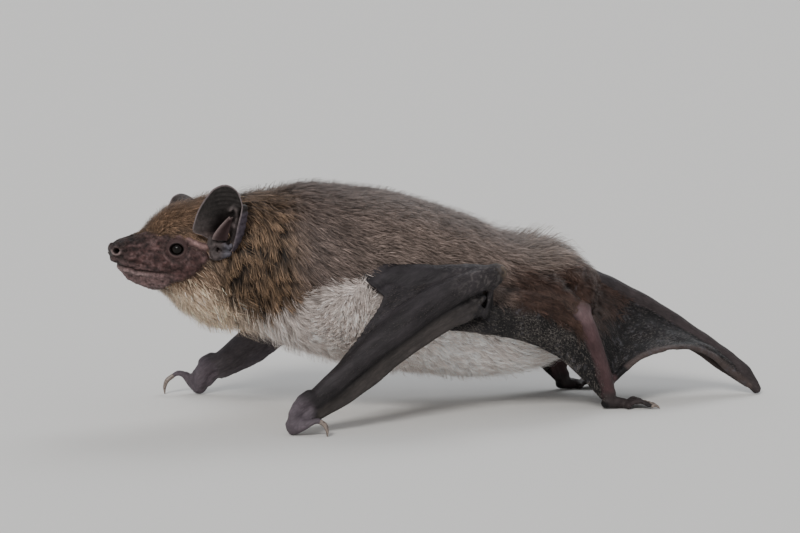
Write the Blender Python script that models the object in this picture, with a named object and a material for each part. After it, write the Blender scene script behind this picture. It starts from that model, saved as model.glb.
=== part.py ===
"""A small vesper bat on its wrists and feet, life size, in named solids.

The bat faces -X with its left side towards -Y, and the floor is z = 0. The
trunk and head are one loft through a table of cross-sections, parted by thin
cuts. Limbs are tapered tubes, wing and tail skins are thin slabs between two
rails, and whatever meets a neighbour is carved clear of it by one cut width.
Sizes are written in millimetres and scaled to metres as the meshes are made.
"""

import math

import bmesh
import bpy
import numpy as np
from mathutils import Vector

MM = 0.001
CUT = 0.3  # width of the thin cut between neighbouring parts
SKIN = 0.55  # thickness of the wing, tail and ear skins as solids
FLOOR = 0.0

# Where the trunk is parted, as places along X from the nose end to the tail.
NECK_FRONT, CHEST_FRONT, BELLY_FRONT, RUMP_FRONT = -20.3, -15.4, -2.6, 11.4
BODY_SIDES = 24
LIMB_SIDES = 9

# The body to the tips of the coat: x, top, bottom, half width, height of the
# widest level as a share of the section, and fullness (2 is an ellipse).
BODY_SECTIONS = (
    (-35.6, 20.7, 19.9, 0.45, 0.50, 2.0),  # tip of the nose
    (-35.2, 21.1, 19.0, 1.45, 0.55, 2.2),
    (-34.4, 21.4, 18.0, 2.05, 0.52, 2.3),  # nostrils
    (-33.2, 21.6, 16.9, 2.65, 0.48, 2.3),  # chin
    (-31.6, 22.0, 16.0, 3.30, 0.50, 2.2),  # swollen sides of the muzzle
    (-30.3, 23.2, 15.5, 4.00, 0.50, 2.1),
    (-28.8, 24.4, 14.9, 4.70, 0.52, 2.1),  # eyes
    (-27.0, 25.3, 13.4, 5.40, 0.52, 2.1),
    (-24.8, 26.0, 11.8, 6.10, 0.50, 2.1),  # ears
    (-22.4, 26.7, 10.8, 6.80, 0.48, 2.1),
    (-19.8, 27.1, 10.0, 7.60, 0.47, 2.1),  # neck
    (-17.0, 27.3, 9.0, 8.60, 0.47, 2.1),
    (-14.0, 27.6, 7.7, 9.60, 0.48, 2.1),  # shoulders
    (-10.5, 27.7, 6.4, 10.4, 0.50, 2.2),
    (-6.5, 27.3, 5.3, 10.8, 0.50, 2.2),
    (-2.0, 26.6, 4.5, 10.9, 0.50, 2.2),
    (3.0, 25.3, 3.8, 10.7, 0.50, 2.2),
    (8.0, 23.6, 3.3, 10.1, 0.50, 2.2),
    (12.5, 21.8, 3.3, 9.00, 0.50, 2.2),
    (16.5, 20.8, 3.8, 7.70, 0.52, 2.1),  # fluffed fur of the rump
    (19.8, 19.9, 5.0, 6.20, 0.56, 2.1),
    (22.4, 18.4, 8.0, 4.40, 0.60, 2.0),
    (24.4, 16.7, 11.6, 2.60, 0.60, 2.0),
    (25.4, 15.6, 13.4, 1.00, 0.50, 2.0),  # root of the tail
)

# Head.
MOUTH_LINE = ((-38.0, 19.2), (-34.8, 18.65), (-32.7, 18.1), (-28.8, 17.0))
THROAT = (-26.6, 9.0)
EYE_AT, EYE_RADIUS = (-28.5, 4.25, 20.5), 0.95
EAR_HEIGHT, EAR_WIDTH, EAR_DEPTH = 9.3, 6.6, 2.2
EAR_CENTRE = {"left": (-23.4, -7.8, 23.6), "right": (-24.2, 7.6, 21.8)}
EAR_UP = {"left": (0.02, -0.30, 1.0), "right": (-0.08, 0.68, 1.0)}
EAR_OUT = {"left": (-0.42, -0.9, 0.0), "right": (-0.55, 0.9, 0.0)}

# Limbs, for the left side. The right side mirrors them, its arm set further forward.
SHOULDER = (-9.5, -6.4, 16.6)
FOREARM = (
    (7.4, -13.2, 17.2),  # elbow
    (2.2, -13.8, 15.5),
    (-2.6, -14.5, 12.9),
    (-8.4, -15.4, 8.8),
    (-14.8, -16.3, 3.8),  # wrist
)
FOREARM_RADII = (1.45, 1.8, 1.9, 1.55, 1.15)
ARM_SHIFT = {"left": (0.0, 0.0, 0.0), "right": (-4.1, 0.5, 0.0)}
HIP, KNEE, ANKLE = (14.0, -4.5, 14.2), (19.9, -9.0, 11.9), (23.8, -8.3, 1.75)
FINGERS = ("third", "fourth", "fifth")
FINGER_FALL = ((2.35, 3.2, 4.05), (1.55, 2.15, 2.75))  # below the forearm, elbow and wrist

TAIL = (
    (22.8, 0.0, 15.6),
    (28.0, 0.0, 13.5),
    (33.0, -0.2, 10.9),
    (38.0, -0.5, 7.5),
    (41.6, -1.0, 4.6),
    (44.2, -1.6, 2.1),
    (45.9, -2.2, 0.45),
)
TAIL_RADII = (1.35, 1.0, 0.85, 0.72, 0.62, 0.55, 0.5)

FINISHES = {
    "back_fur": ((0.20, 0.13, 0.09), 0.85),
    "mane_fur": ((0.24, 0.15, 0.08), 0.85),
    "face_skin": ((0.22, 0.12, 0.11), 0.55),
    "ear_skin": ((0.07, 0.055, 0.055), 0.6),
    "wing_skin": ((0.045, 0.038, 0.042), 0.5),
    "limb_skin": ((0.17, 0.11, 0.11), 0.55),
    "claw_horn": ((0.30, 0.22, 0.17), 0.35),
    "eye_gloss": ((0.01, 0.008, 0.008), 0.08),
}


WHOLE = {}  # each solid's mesh as first made, before anything is cut from it


def clear_scene():
    """Removes whatever the scene holds at the start."""
    for obj in list(bpy.data.objects):
        bpy.data.objects.remove(obj)


def finish_of(name):
    """The Principled material of that name, made the first time it is asked for."""
    made = bpy.data.materials.get(name)
    if made:
        return made
    colour, roughness = FINISHES[name]
    made = bpy.data.materials.new(name)
    made.use_nodes = True
    shader = made.node_tree.nodes["Principled BSDF"]
    shader.inputs["Base Color"].default_value = (*colour, 1.0)
    shader.inputs["Roughness"].default_value = roughness
    shader.inputs["Metallic"].default_value = 0.0
    return made


def add_object(name, bm, finish):
    """Links a bmesh, in millimetres, to the scene as a named object in metres."""
    bmesh.ops.scale(bm, vec=(MM, MM, MM), verts=bm.verts)
    bmesh.ops.recalc_face_normals(bm, faces=bm.faces)
    mesh = bpy.data.meshes.new(name)
    bm.to_mesh(mesh)
    bm.free()
    mesh.materials.append(finish_of(finish))
    mesh.shade_smooth()
    obj = bpy.data.objects.new(name, mesh)
    bpy.context.scene.collection.objects.link(obj)
    WHOLE[name] = mesh.copy()
    return obj


# Curves and sections


def through(points, shares):
    """Points of a Catmull-Rom curve through the given ones, at shares from 0 to 1."""
    p = np.array(points, float)
    p = np.vstack([2 * p[0] - p[1], p, 2 * p[-1] - p[-2]])
    at = np.asarray(shares, float) * (len(p) - 3)
    i = np.minimum(at.astype(int), len(p) - 4)
    t = (at - i)[:, None]
    a, b, c, d = p[i], p[i + 1], p[i + 2], p[i + 3]
    return b + t / 2 * (c - a + t * (2 * a - 5 * b + 4 * c - d + t * (3 * (b - c) + d - a)))


def steps(count):
    """Shares from 0 to 1 in that many even steps."""
    return np.linspace(0, 1, count + 1)


def mirrored(point):
    """The same place on the other side of the body."""
    return (point[0], -point[1], point[2])


def on_side(point, side):
    """A left-hand place, or its mirror for the right side."""
    return point if side == "left" else mirrored(point)


def body_at(x):
    """Top, bottom, half width, widest level and fullness of the body at x."""
    table = np.array(BODY_SECTIONS)
    share = np.interp(x, table[:, 0], steps(len(table) - 1))
    return through(table, [share])[0][1:]


def body_ring(x):
    """The body's outline at x, as a ring of points."""
    top, bottom, half_width, level, fullness = body_at(x)
    middle = bottom + level * (top - bottom)
    ring = []
    for i in range(BODY_SIDES):
        angle = 2 * math.pi * i / BODY_SIDES
        across, up = math.cos(angle), math.sin(angle)
        height = (top - middle) if up > 0 else (middle - bottom)
        y = half_width * math.copysign(abs(across) ** (2 / fullness), across)
        z = middle + height * math.copysign(abs(up) ** (2 / fullness), up)
        ring.append((x, y, z))
    return ring


def tube_rings(path, radii, sides, squash=1.0):
    """Rings square to a path, carried along it without twist, squash being height over width."""
    path = np.array(path, float)
    ahead = np.gradient(path, axis=0)
    ahead /= np.linalg.norm(ahead, axis=1)[:, None]
    side = np.cross((0, 0, 1), ahead[0])
    if np.linalg.norm(side) < 0.1:
        side = np.array((0.0, 1.0, 0.0))
    rings = []
    for centre, along, radius in zip(path, ahead, radii):
        side = side - along * (side @ along)
        side /= np.linalg.norm(side)
        up = np.cross(along, side)
        angles = 2 * math.pi * np.arange(sides) / sides
        rings.append(
            centre
            + radius * np.cos(angles)[:, None] * side
            + radius * squash * np.sin(angles)[:, None] * up
        )
    return rings


def rounded(path, radii, counts, round_ends=(True, True)):
    """A finer path and radii, with a dome of rings added at the ends that are round."""
    shares = steps(counts)
    fine = through(path, shares)
    wide = np.interp(shares, steps(len(radii) - 1), radii)
    for end, is_round in zip((0, -1), round_ends):
        if not is_round:
            continue
        inner = fine[1] if end == 0 else fine[-2]
        out = fine[end] - inner
        out /= np.linalg.norm(out)
        radius = wide[end]
        dome = [(fine[end] + out * radius * k, radius * math.sqrt(1 - k * k)) for k in (0.55, 0.9)]
        places, widths = np.array([d[0] for d in dome]), np.array([d[1] for d in dome])
        if end == 0:
            fine, wide = np.vstack([places[::-1], fine]), np.append(widths[::-1], wide)
        else:
            fine, wide = np.vstack([fine, places]), np.append(wide, widths)
    return fine, wide


# Solids


def skin_rings(rings):
    """A closed bmesh over a row of rings, with a flat cap on each end."""
    bm = bmesh.new()
    made = [[bm.verts.new(p) for p in ring] for ring in rings]
    count = len(made[0])
    for near, far in zip(made, made[1:]):
        for i in range(count):
            j = (i + 1) % count
            bm.faces.new((near[i], near[j], far[j], far[i]))
    bm.faces.new(made[0][::-1])
    bm.faces.new(made[-1])
    return bm


def limb(name, path, radii, finish, counts=7, sides=LIMB_SIDES, round_ends=(True, True), squash=1.0):
    """A tapered tube along a smooth path, with rounded ends."""
    fine, wide = rounded(path, radii, counts, round_ends)
    return add_object(name, skin_rings(tube_rings(fine, wide, sides, squash)), finish)


def slab_mesh(grid, thickness):
    """A closed bmesh of even thickness on both sides of a grid of points."""
    grid = np.array(grid, float)
    along, across = np.gradient(grid, axis=0), np.gradient(grid, axis=1)
    normal = np.cross(along, across)
    normal /= np.maximum(np.linalg.norm(normal, axis=2), 1e-9)[..., None]
    bm = bmesh.new()
    faces = []
    for offset in (thickness / 2, -thickness / 2):
        faces.append([[bm.verts.new(p) for p in row] for row in grid + offset * normal])
    front, back = faces
    rows, columns = grid.shape[:2]
    for i in range(rows - 1):
        for j in range(columns - 1):
            bm.faces.new((front[i][j], front[i + 1][j], front[i + 1][j + 1], front[i][j + 1]))
            bm.faces.new((back[i][j], back[i][j + 1], back[i + 1][j + 1], back[i + 1][j]))
    rim = [(i, 0) for i in range(rows)] + [(rows - 1, j) for j in range(1, columns)]
    rim += [(i, columns - 1) for i in range(rows - 2, -1, -1)] + [(0, j) for j in range(columns - 2, 0, -1)]
    for (i, j), (k, m) in zip(rim, rim[1:] + rim[:1]):
        bm.faces.new((front[i][j], back[i][j], back[k][m], front[k][m]))
    return bm


def web(name, rail_a, rail_b, finish, rows, columns, belly=0.0, bulge=(0, 0, 0)):
    """A skin stretched between two rails, its middle pushed along bulge by belly."""
    a, b = through(rail_a, steps(rows)), through(rail_b, steps(rows))
    push = belly * np.array(bulge, float)
    grid = []
    for near, far in zip(a, b):
        grid.append([near + (far - near) * t + push * 4 * t * (1 - t) for t in steps(columns)])
    return add_object(name, slab_mesh(grid, SKIN), finish)


def prism(name, outline, half_width):
    """A helper block: an outline in X and Z, run from one side of the body to the other."""
    bm = bmesh.new()
    ends = [[bm.verts.new((x, y, z)) for x, z in outline] for y in (-half_width, half_width)]
    bm.faces.new(ends[0])
    bm.faces.new(ends[1][::-1])
    count = len(outline)
    for i in range(count):
        j = (i + 1) % count
        bm.faces.new((ends[0][j], ends[0][i], ends[1][i], ends[1][j]))
    return as_cutter(add_object(name, bm, "limb_skin"))


def as_cutter(obj):
    """Marks an object as a helper that only cuts, and that is no part of the bat."""
    obj.hide_render = True
    obj.display_type = "WIRE"
    return obj


def grown(obj, by):
    """A helper: the object as first made, its surface pushed out by that many millimetres."""
    mesh = WHOLE[obj.name].copy()
    bm = bmesh.new()
    bm.from_mesh(mesh)
    bmesh.ops.recalc_face_normals(bm, faces=bm.faces)
    bm.normal_update()
    for vert, normal in [(v, v.normal.copy()) for v in bm.verts]:
        vert.co += normal * (by * MM * min(vert.calc_shell_factor(), 1.6))
    bm.to_mesh(mesh)
    bm.free()
    helper = bpy.data.objects.new(obj.name + "_grown", mesh)
    bpy.context.scene.collection.objects.link(helper)
    return as_cutter(helper)


def evaluated_mesh(obj):
    """A new mesh of the object as its modifiers leave it."""
    bpy.context.view_layer.update()
    graph = bpy.context.evaluated_depsgraph_get()
    return bpy.data.meshes.new_from_object(obj.evaluated_get(graph))


def combine(obj, other, operation):
    """Runs one Boolean and keeps the largest body of the result."""
    modifier = obj.modifiers.new(operation.lower(), "BOOLEAN")
    modifier.operation = operation
    modifier.solver = "EXACT"
    modifier.object = other
    mesh = evaluated_mesh(obj)
    obj.modifiers.remove(modifier)
    keep_largest_body(mesh)
    mesh.materials.clear()
    mesh.materials.append(obj.data.materials[0])
    obj.data = mesh
    mesh.shade_smooth()


def keep_largest_body(mesh):
    """Deletes the small scraps that a cut leaves beside the piece itself."""
    bm = bmesh.new()
    bm.from_mesh(mesh)
    bmesh.ops.remove_doubles(bm, verts=bm.verts, dist=0.004 * MM)
    bmesh.ops.dissolve_degenerate(bm, edges=bm.edges, dist=0.002 * MM)
    bmesh.ops.triangulate(bm, faces=bm.faces)
    left, bodies = set(bm.verts), []
    while left:
        body, todo = set(), [left.pop()]
        while todo:
            vert = todo.pop()
            body.add(vert)
            for edge in vert.link_edges:
                other = edge.other_vert(vert)
                if other in left:
                    left.remove(other)
                    todo.append(other)
        bodies.append(body)
    bodies.sort(key=lambda verts: sum(f.calc_area() for v in verts for f in v.link_faces))
    for scrap in bodies[:-1]:
        bmesh.ops.delete(bm, geom=list(scrap), context="VERTS")
    bm.to_mesh(mesh)
    bm.free()


def carve(obj, *neighbours):
    """Cuts an object back so that it stands one cut width clear of its neighbours."""
    for neighbour in neighbours:
        helper = grown(neighbour, CUT)
        combine(obj, helper, "DIFFERENCE")
        bpy.data.objects.remove(helper)


def stand_flat(obj):
    """Cuts off whatever reaches below the floor, which leaves a small flat to stand on."""
    bm = bmesh.new()
    bm.from_mesh(obj.data)
    plane = bmesh.ops.bisect_plane(
        bm,
        geom=bm.verts[:] + bm.edges[:] + bm.faces[:],
        dist=1e-7,
        plane_co=(0, 0, FLOOR),
        plane_no=(0, 0, -1),
        clear_outer=True,
    )
    edges = [e for e in plane["geom_cut"] if isinstance(e, bmesh.types.BMEdge)]
    if edges:
        bmesh.ops.holes_fill(bm, edges=edges, sides=0)
    bm.to_mesh(obj.data)
    bm.free()


# Body and head


def body_length(name, start, end, finish, rings):
    """One length of the body between two places along X."""
    marks = start + (end - start) * steps(rings)
    return add_object(name, skin_rings([body_ring(x) for x in marks]), finish)


def make_trunk():
    """Neck, chest, belly and rump, each one cut width short of the next."""
    return {
        "neck": body_length("neck", NECK_FRONT, CHEST_FRONT - CUT, "mane_fur", 4),
        "chest": body_length("chest", CHEST_FRONT, BELLY_FRONT - CUT, "back_fur", 6),
        "belly": body_length("belly", BELLY_FRONT, RUMP_FRONT - CUT, "back_fur", 6),
        "rump": body_length("rump", RUMP_FRONT, BODY_SECTIONS[-1][0], "back_fur", 9),
    }


def make_eye(side):
    """An eyeball set in the head, most of it below the skin."""
    bm = bmesh.new()
    bmesh.ops.create_uvsphere(bm, u_segments=10, v_segments=6, radius=EYE_RADIUS)
    x, y, z = EYE_AT
    bmesh.ops.translate(bm, verts=bm.verts, vec=(x, -y if side == "left" else y, z))
    return add_object(f"eye_{side}", bm, "eye_gloss")


def make_head(eyes):
    """The head parted from the lower jaw along the mouth, with a socket for each eye."""
    start, end = BODY_SECTIONS[0][0], NECK_FRONT - CUT
    head = body_length("head", start, end, "mane_fur", 13)
    jaw = body_length("jaw", start, end, "face_skin", 13)
    below = [(-38.0, THROAT[1])]
    wedge = prism("jaw_wedge", [*MOUTH_LINE, THROAT, *below], 12)
    shifted = [(x + CUT * 0.5, z + CUT) for x, z in (*MOUTH_LINE, THROAT)]
    upper = prism("head_wedge", [*shifted, *below], 12)
    combine(jaw, wedge, "INTERSECT")
    combine(head, upper, "DIFFERENCE")
    for helper in (wedge, upper):
        bpy.data.objects.remove(helper)
    carve(head, *eyes)
    return head, jaw


def ear_frame(side):
    """The centre of an ear's dish and its upward, backward and outward directions."""
    up = Vector(EAR_UP[side]).normalized()
    out = Vector(EAR_OUT[side])
    out = (out - up * out.dot(up)).normalized()
    back = out.cross(up) if side == "left" else up.cross(out)
    return Vector(EAR_CENTRE[side]), up, back.normalized(), out


def make_ear(side):
    """An egg-shaped dish, narrow at the tip, whose rear rim curls outwards."""
    centre, up, back, out = ear_frame(side)
    grid = []
    for around in steps(16)[:-1]:
        angle = 2 * math.pi * around
        rise, run = math.sin(angle), math.cos(angle)
        row = []
        for r in (0.12, 0.5, 0.8, 1.0):
            across = EAR_WIDTH / 2 * run * (1 - 0.24 * rise) * r
            height = EAR_HEIGHT / 2 * rise * r
            depth = EAR_DEPTH * (r * r - 1) + 0.7 * max(0.0, run) * r**4
            row.append(centre + back * (across + 0.06 * height) + up * height + out * depth)
        grid.append(row)
    bm = dish_mesh(grid, SKIN)
    return add_object(f"ear_{side}", bm, "ear_skin")


def dish_mesh(grid, thickness):
    """A closed bmesh over a dish given as spokes from near its centre to its rim."""
    grid = np.array(grid, float)
    ring = np.roll(grid, -1, axis=0) - np.roll(grid, 1, axis=0)
    normal = np.cross(ring, np.gradient(grid, axis=1))
    normal /= np.linalg.norm(normal, axis=2)[..., None]
    bm = bmesh.new()
    sides = []
    for offset in (thickness / 2, -thickness / 2):
        sides.append([[bm.verts.new(p) for p in spoke] for spoke in grid + offset * normal])
    count, rings = grid.shape[:2]
    for i in range(count):
        k = (i + 1) % count
        for j in range(rings - 1):
            for face in sides:
                bm.faces.new((face[i][j], face[k][j], face[k][j + 1], face[i][j + 1]))
        bm.faces.new((sides[0][i][-1], sides[0][k][-1], sides[1][k][-1], sides[1][i][-1]))
    for face in sides:
        bm.faces.new([face[i][0] for i in range(count)])
    return bm


def make_tragus(side):
    """The short blunt flap that stands in front of the ear opening."""
    centre, up, back, out = ear_frame(side)
    root = centre - up * 2.6 - back * 0.9 + out * 0.1
    tip = centre + up * 1.0 + back * 0.75 + out * 0.35
    middle = (root + tip) / 2 - back * 0.1 + out * 0.15
    return limb(f"tragus_{side}", [root, middle, tip], (0.75, 0.8, 0.42), "face_skin", 3, 8, squash=0.6)


# Wings


def arm_point(point, side):
    """A place on the left arm, or the matching one on the right arm."""
    return np.array(on_side(point, side), float) + np.array(ARM_SHIFT[side])


def forearm_frame(side, share):
    """The forearm's axis at a share from elbow 0 to wrist 1, and the way below it."""
    line = [arm_point(p, side) for p in FOREARM]
    here, ahead = through(line, [share, min(share + 0.05, 1.0)])
    if share > 0.95:
        here, ahead = here, here + (here - through(line, [share - 0.05])[0])
    along = (ahead - here) / np.linalg.norm(ahead - here)
    below = np.cross(along, outward(side))
    below *= -math.copysign(1, below[2])
    return here, along, below / np.linalg.norm(below)


def outward(side):
    """The direction away from the body on that side."""
    return np.array((0.0, -1.0 if side == "left" else 1.0, 0.0))


def folded_hand_point(side, share, fall, out):
    """A place on the folded hand: fall is 0 to 2 from the third to the fifth finger."""
    here, _, below = forearm_frame(side, share)
    at_elbow, at_wrist = (np.interp(fall, (0, 1, 2), row) for row in FINGER_FALL)
    extra = min(fall, 0.0) + max(fall - 2.0, 0.0)
    depth = at_elbow + (at_wrist - at_elbow) * share + extra
    return here + below * depth + outward(side) * out


def make_finger(side, index):
    """A wing finger folded along the forearm: out to its knuckle and part of the way back."""
    knuckle, tip = 0.12 + 0.04 * index, 0.58 - 0.08 * index
    outbound = [(0.97, 0.45), (0.66, 0.5), (0.4, 0.5), (knuckle, 0.4)]
    inbound = [(knuckle - 0.02, -0.6), (knuckle + 0.1, -1.35), (tip, -1.3)]
    path = [folded_hand_point(side, share, index, out) for share, out in outbound + inbound]
    radii = (0.27, 0.34, 0.38, 0.4, 0.34, 0.3, 0.27)
    name = f"wing_finger_{FINGERS[index]}_{side}"
    return limb(name, path, radii, "wing_skin", counts=10, sides=6, round_ends=(False, False))


def make_folded_hand_skin(side):
    """The skin between the folded fingers, pleated from finger to finger."""
    grid = []
    for share in 0.25 + 0.7 * steps(6):
        row = []
        for k, fall in enumerate(-0.2 + 2.35 * steps(6)):
            pleat = -0.48 + 0.08 * (-1) ** k
            row.append(folded_hand_point(side, share, fall, pleat))
        grid.append(row)
    return add_object(f"wing_hand_skin_{side}", slab_mesh(grid, 0.5), "wing_skin")


def make_arm(side, trunk):
    """Upper arm, forearm, wrist, thumb with claw, folded fingers and the skins of one wing."""
    line = [arm_point(p, side) for p in FOREARM]
    elbow, wrist = line[0], line[-1]
    forearm = limb(f"forearm_{side}", line, FOREARM_RADII, "wing_skin", counts=8)
    shoulder = arm_point(SHOULDER, side)
    middle = (shoulder + elbow) / 2 + outward(side) * 1.6
    upper_arm = limb(
        f"upper_arm_{side}", [shoulder, middle, elbow], (2.5, 1.75, 1.3), "back_fur", counts=6
    )
    heel = [wrist + np.array(p) for p in ((-1.2, 0, 0.4), (-2.0, 0, -1.3), (-2.15, 0, -2.75))]
    hand = limb(f"wrist_{side}", heel, (1.15, 1.5, 1.3), "limb_skin", counts=4)
    fingers = [make_finger(side, index) for index in range(len(FINGERS))]
    hand_skin = make_folded_hand_skin(side)
    thumb, claw = make_thumb(side, wrist)
    carve(forearm, hand)
    carve(upper_arm, forearm, *trunk.values())
    for finger in fingers:
        carve(finger, hand, forearm)
    carve(hand_skin, hand, forearm)
    carve(thumb, hand)
    carve(claw, thumb)
    bundle = [forearm, upper_arm, hand, *fingers, hand_skin]
    front_web(side, bundle, trunk)
    return bundle + [thumb, claw]


def make_thumb(side, wrist):
    """The free thumb, arched over its joint, and the hooked claw that meets the floor."""
    if side == "left":
        bend = [(-1.6, -0.9, -2.4), (-0.6, -1.7, -1.75), (0.2, -1.9, -1.7), (0.9, -2.1, -2.3)]
        hook = [(0.95, -2.15, -2.4), (1.25, -2.25, -2.9), (1.4, -2.3, -3.4), (1.45, -2.3, -3.9)]
    else:
        bend = [(-2.8, 0.6, -2.7), (-3.8, 0.9, -1.4), (-4.8, 1.0, -1.1), (-5.8, 1.1, -1.7)]
        hook = [(-5.9, 1.1, -1.8), (-6.4, 1.15, -2.3), (-6.65, 1.2, -3.1), (-6.6, 1.2, -3.9)]
    thumb_line, claw_line = ([wrist + np.array(p) for p in path] for path in (bend, hook))
    thumb = limb(f"thumb_{side}", thumb_line, (0.8, 0.6, 0.52, 0.5), "limb_skin", counts=5, sides=8)
    claw = limb(f"thumb_claw_{side}", claw_line, (0.4, 0.36, 0.28, 0.2), "claw_horn", counts=4, sides=6)
    return thumb, claw


def front_web(side, bundle, trunk):
    """The small skin in front of the arm, from the shoulder to the wrist."""
    edge = [(-6.4, -11.2, 17.0), (-4.9, -12.9, 15.6), (-7.7, -14.2, 12.1), (-11.2, -15.6, 8.4)]
    edge = [arm_point(p, side) for p in (*edge, (-14.3, -16.3, 5.2))]
    arm = []
    for share in (0.03, 0.25, 0.5, 0.72, 0.93):
        here, _, below = forearm_frame(side, share)
        arm.append(here - below * 0.7)
    skin = web(f"wing_front_skin_{side}", edge, arm, "wing_skin", 7, 3)
    carve(skin, trunk["chest"], trunk["belly"], *bundle)
    return skin


def rear_web(side, bundle, shin, thigh, trunk):
    """The slack skin between the folded hand, the flank and the ankle."""
    flank = [(3.5, -10.4, 15.4), (9.2, -9.8, 15.0), (14.4, -8.7, 13.2), (18.6, -9.3, 9.4), (20.9, -9.3, 5.6)]
    hem = [(2.2, -13.2, 10.9), (7.5, -12.7, 10.1), (12.2, -11.6, 8.9), (16.4, -10.5, 6.9), (20.0, -9.5, 3.9)]
    flank, hem = [*flank, (22.2, -8.9, 3.0)], [*hem, (22.8, -8.7, 1.1)]
    flank, hem = [on_side(p, side) for p in flank], [on_side(p, side) for p in hem]
    out = (0, -1 if side == "left" else 1, 0)
    skin = web(f"wing_rear_skin_{side}", flank, hem, "wing_skin", 9, 3, 0.5, out)
    carve(skin, trunk["belly"], trunk["rump"], thigh, shin, *bundle)
    return skin


# Legs and tail


def make_leg(side, trunk):
    """Thigh, shin, and a foot with five clawed toes flat on the floor."""
    hip, knee, ankle = (np.array(on_side(p, side), float) for p in (HIP, KNEE, ANKLE))
    thigh = limb(f"thigh_{side}", [hip, (hip + knee) / 2, knee], (3.0, 2.6, 1.55), "back_fur", counts=4)
    shin = limb(
        f"shin_{side}",
        [knee, knee + (ankle - knee) * 0.3, knee + (ankle - knee) * 0.7, ankle],
        (1.25, 1.15, 0.95, 0.85),
        "limb_skin",
        counts=6,
    )
    foot = make_foot(side, ankle)
    carve(thigh, shin, trunk["belly"], trunk["rump"])
    carve(shin, foot)
    return thigh, shin, foot


def make_foot(side, ankle):
    """A sole with five toes joined to it, each running out into its own claw."""
    mirror = -1 if side == "left" else 1
    heel = ankle + np.array((-0.2, 0, -0.9))
    ball = ankle + np.array((2.3, mirror * 0.2, -1.05))
    foot = limb(f"foot_{side}", [heel, (heel + ball) / 2, ball], (0.95, 0.95, 0.85), "limb_skin", counts=3)
    for toe in range(5):
        spread = (toe - 2) * 0.62
        root = ball + np.array((-0.2, spread * 0.55, 0.1))
        path = [root, root + np.array((1.2, spread * 0.3, 0.2)), root + np.array((2.3, spread * 0.55, -0.15))]
        path += [root + np.array((3.1, spread * 0.7, -0.35)), root + np.array((3.5, spread * 0.75, -0.85))]
        digit = limb("toe", path, (0.34, 0.33, 0.3, 0.26, 0.16), "limb_skin", 4, 5, (False, False))
        combine(foot, digit, "UNION")
        bpy.data.objects.remove(digit)
    return foot


def make_tail(trunk):
    """The tail in three lengths, its tip laid on the floor."""
    lengths, joints = ("tail_root", "tail_middle", "tail_tip"), (0.0, 0.36, 0.7, 1.0)
    whole_length = np.linalg.norm(np.diff(np.array(TAIL), axis=0), axis=1).sum()
    gap = CUT / whole_length
    tail = []
    for i, name in enumerate(lengths):
        start, end = joints[i] + (gap if i else 0), joints[i + 1]
        shares = start + (end - start) * steps(5)
        path = through(TAIL, shares)
        radii = np.interp(shares, steps(len(TAIL_RADII) - 1), TAIL_RADII)
        ends = (False, i == len(lengths) - 1)
        tail.append(limb(name, path, radii, "wing_skin", counts=6, sides=8, round_ends=ends))
    carve(tail[0], trunk["rump"])
    return tail


def tail_web(side, tail, shin, foot, thigh, trunk):
    """Half of the tail skin, from the tail to the shin, the ankle and its own free edge."""
    sign = -1 if side == "left" else 1
    beside_leg = [(20.8, 8.7, 11.4), (22.3, 8.5, 7.4), (23.8, 8.2, 3.3), (25.9, 7.7, 4.6)]
    free_edge = [(28.4, 7.0, 6.0), (31.9, 5.9, 6.7), (35.7, 4.3, 6.5), (39.0, 3.0, 5.0), (41.4, 2.2, 3.2)]
    outer = [(x, sign * y, z) for x, y, z in (*beside_leg, *free_edge)]
    inner = through(TAIL, 0.04 + 0.72 * steps(8))
    inner[:, 1] += sign * 0.2
    skin = web(f"tail_skin_{side}", inner, outer, "wing_skin", 9, 3, 0.35, (0, sign, 0.4))
    spur = [outer[2], outer[3], outer[4], outer[5]]
    calcar = limb(f"calcar_{side}", spur, (0.42, 0.4, 0.34, 0.27), "wing_skin", counts=5, sides=6)
    carve(calcar, shin, foot)
    carve(skin, trunk["rump"], *tail, thigh, shin, foot, calcar)
    return skin, calcar


def merge_flats(obj):
    """Joins the flat scraps a cut leaves side by side, then splits all into triangles again."""
    bm = bmesh.new()
    bm.from_mesh(obj.data)
    bmesh.ops.dissolve_limit(bm, angle_limit=math.radians(1.5), verts=bm.verts, edges=bm.edges)
    bmesh.ops.triangulate(bm, faces=bm.faces)
    if all(edge.is_manifold for edge in bm.edges):
        bm.to_mesh(obj.data)
    bm.free()
    obj.data.shade_smooth()


def solids():
    """Every part of the bat, leaving out the helpers."""
    return [obj for obj in bpy.data.objects if obj.type == "MESH" and not obj.hide_render]


def centre_on_floor():
    """Slides the whole bat so that the origin lies under the middle of its box."""
    bat = solids()
    corners = np.array([v.co for obj in bat for v in obj.data.vertices])
    middle = (corners.min(axis=0) + corners.max(axis=0)) / 2
    for obj in bat:
        obj.location = (-middle[0], -middle[1], -FLOOR)


def main():
    """Builds every part, each named as its node."""
    clear_scene()
    trunk = make_trunk()
    eyes = [make_eye(side) for side in ("left", "right")]
    head, jaw = make_head(eyes)
    for side in ("left", "right"):
        ear = make_ear(side)
        tragus = make_tragus(side)
        carve(ear, head, trunk["neck"], tragus)
        carve(tragus, head)
    tail = make_tail(trunk)
    for side in ("left", "right"):
        bundle = make_arm(side, trunk)
        thigh, shin, foot = make_leg(side, trunk)
        rear_web(side, bundle[:-2], shin, thigh, trunk)
        tail_web(side, tail, shin, foot, thigh, trunk)
        for piece in (*bundle, foot):
            stand_flat(piece)
    stand_flat(tail[-1])
    for piece in solids():
        merge_flats(piece)
    centre_on_floor()


main()
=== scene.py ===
"""A life-size vesper bat: one skin, a coat of fine tufts, eyes and claws.

Everything is shaped in millimetres in the bat's own frame, where the bat faces
-X, its left side is towards -Y and the floor is z = 0. Meshes are moved to the
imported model's place, in metres, as they are made.
"""

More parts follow.
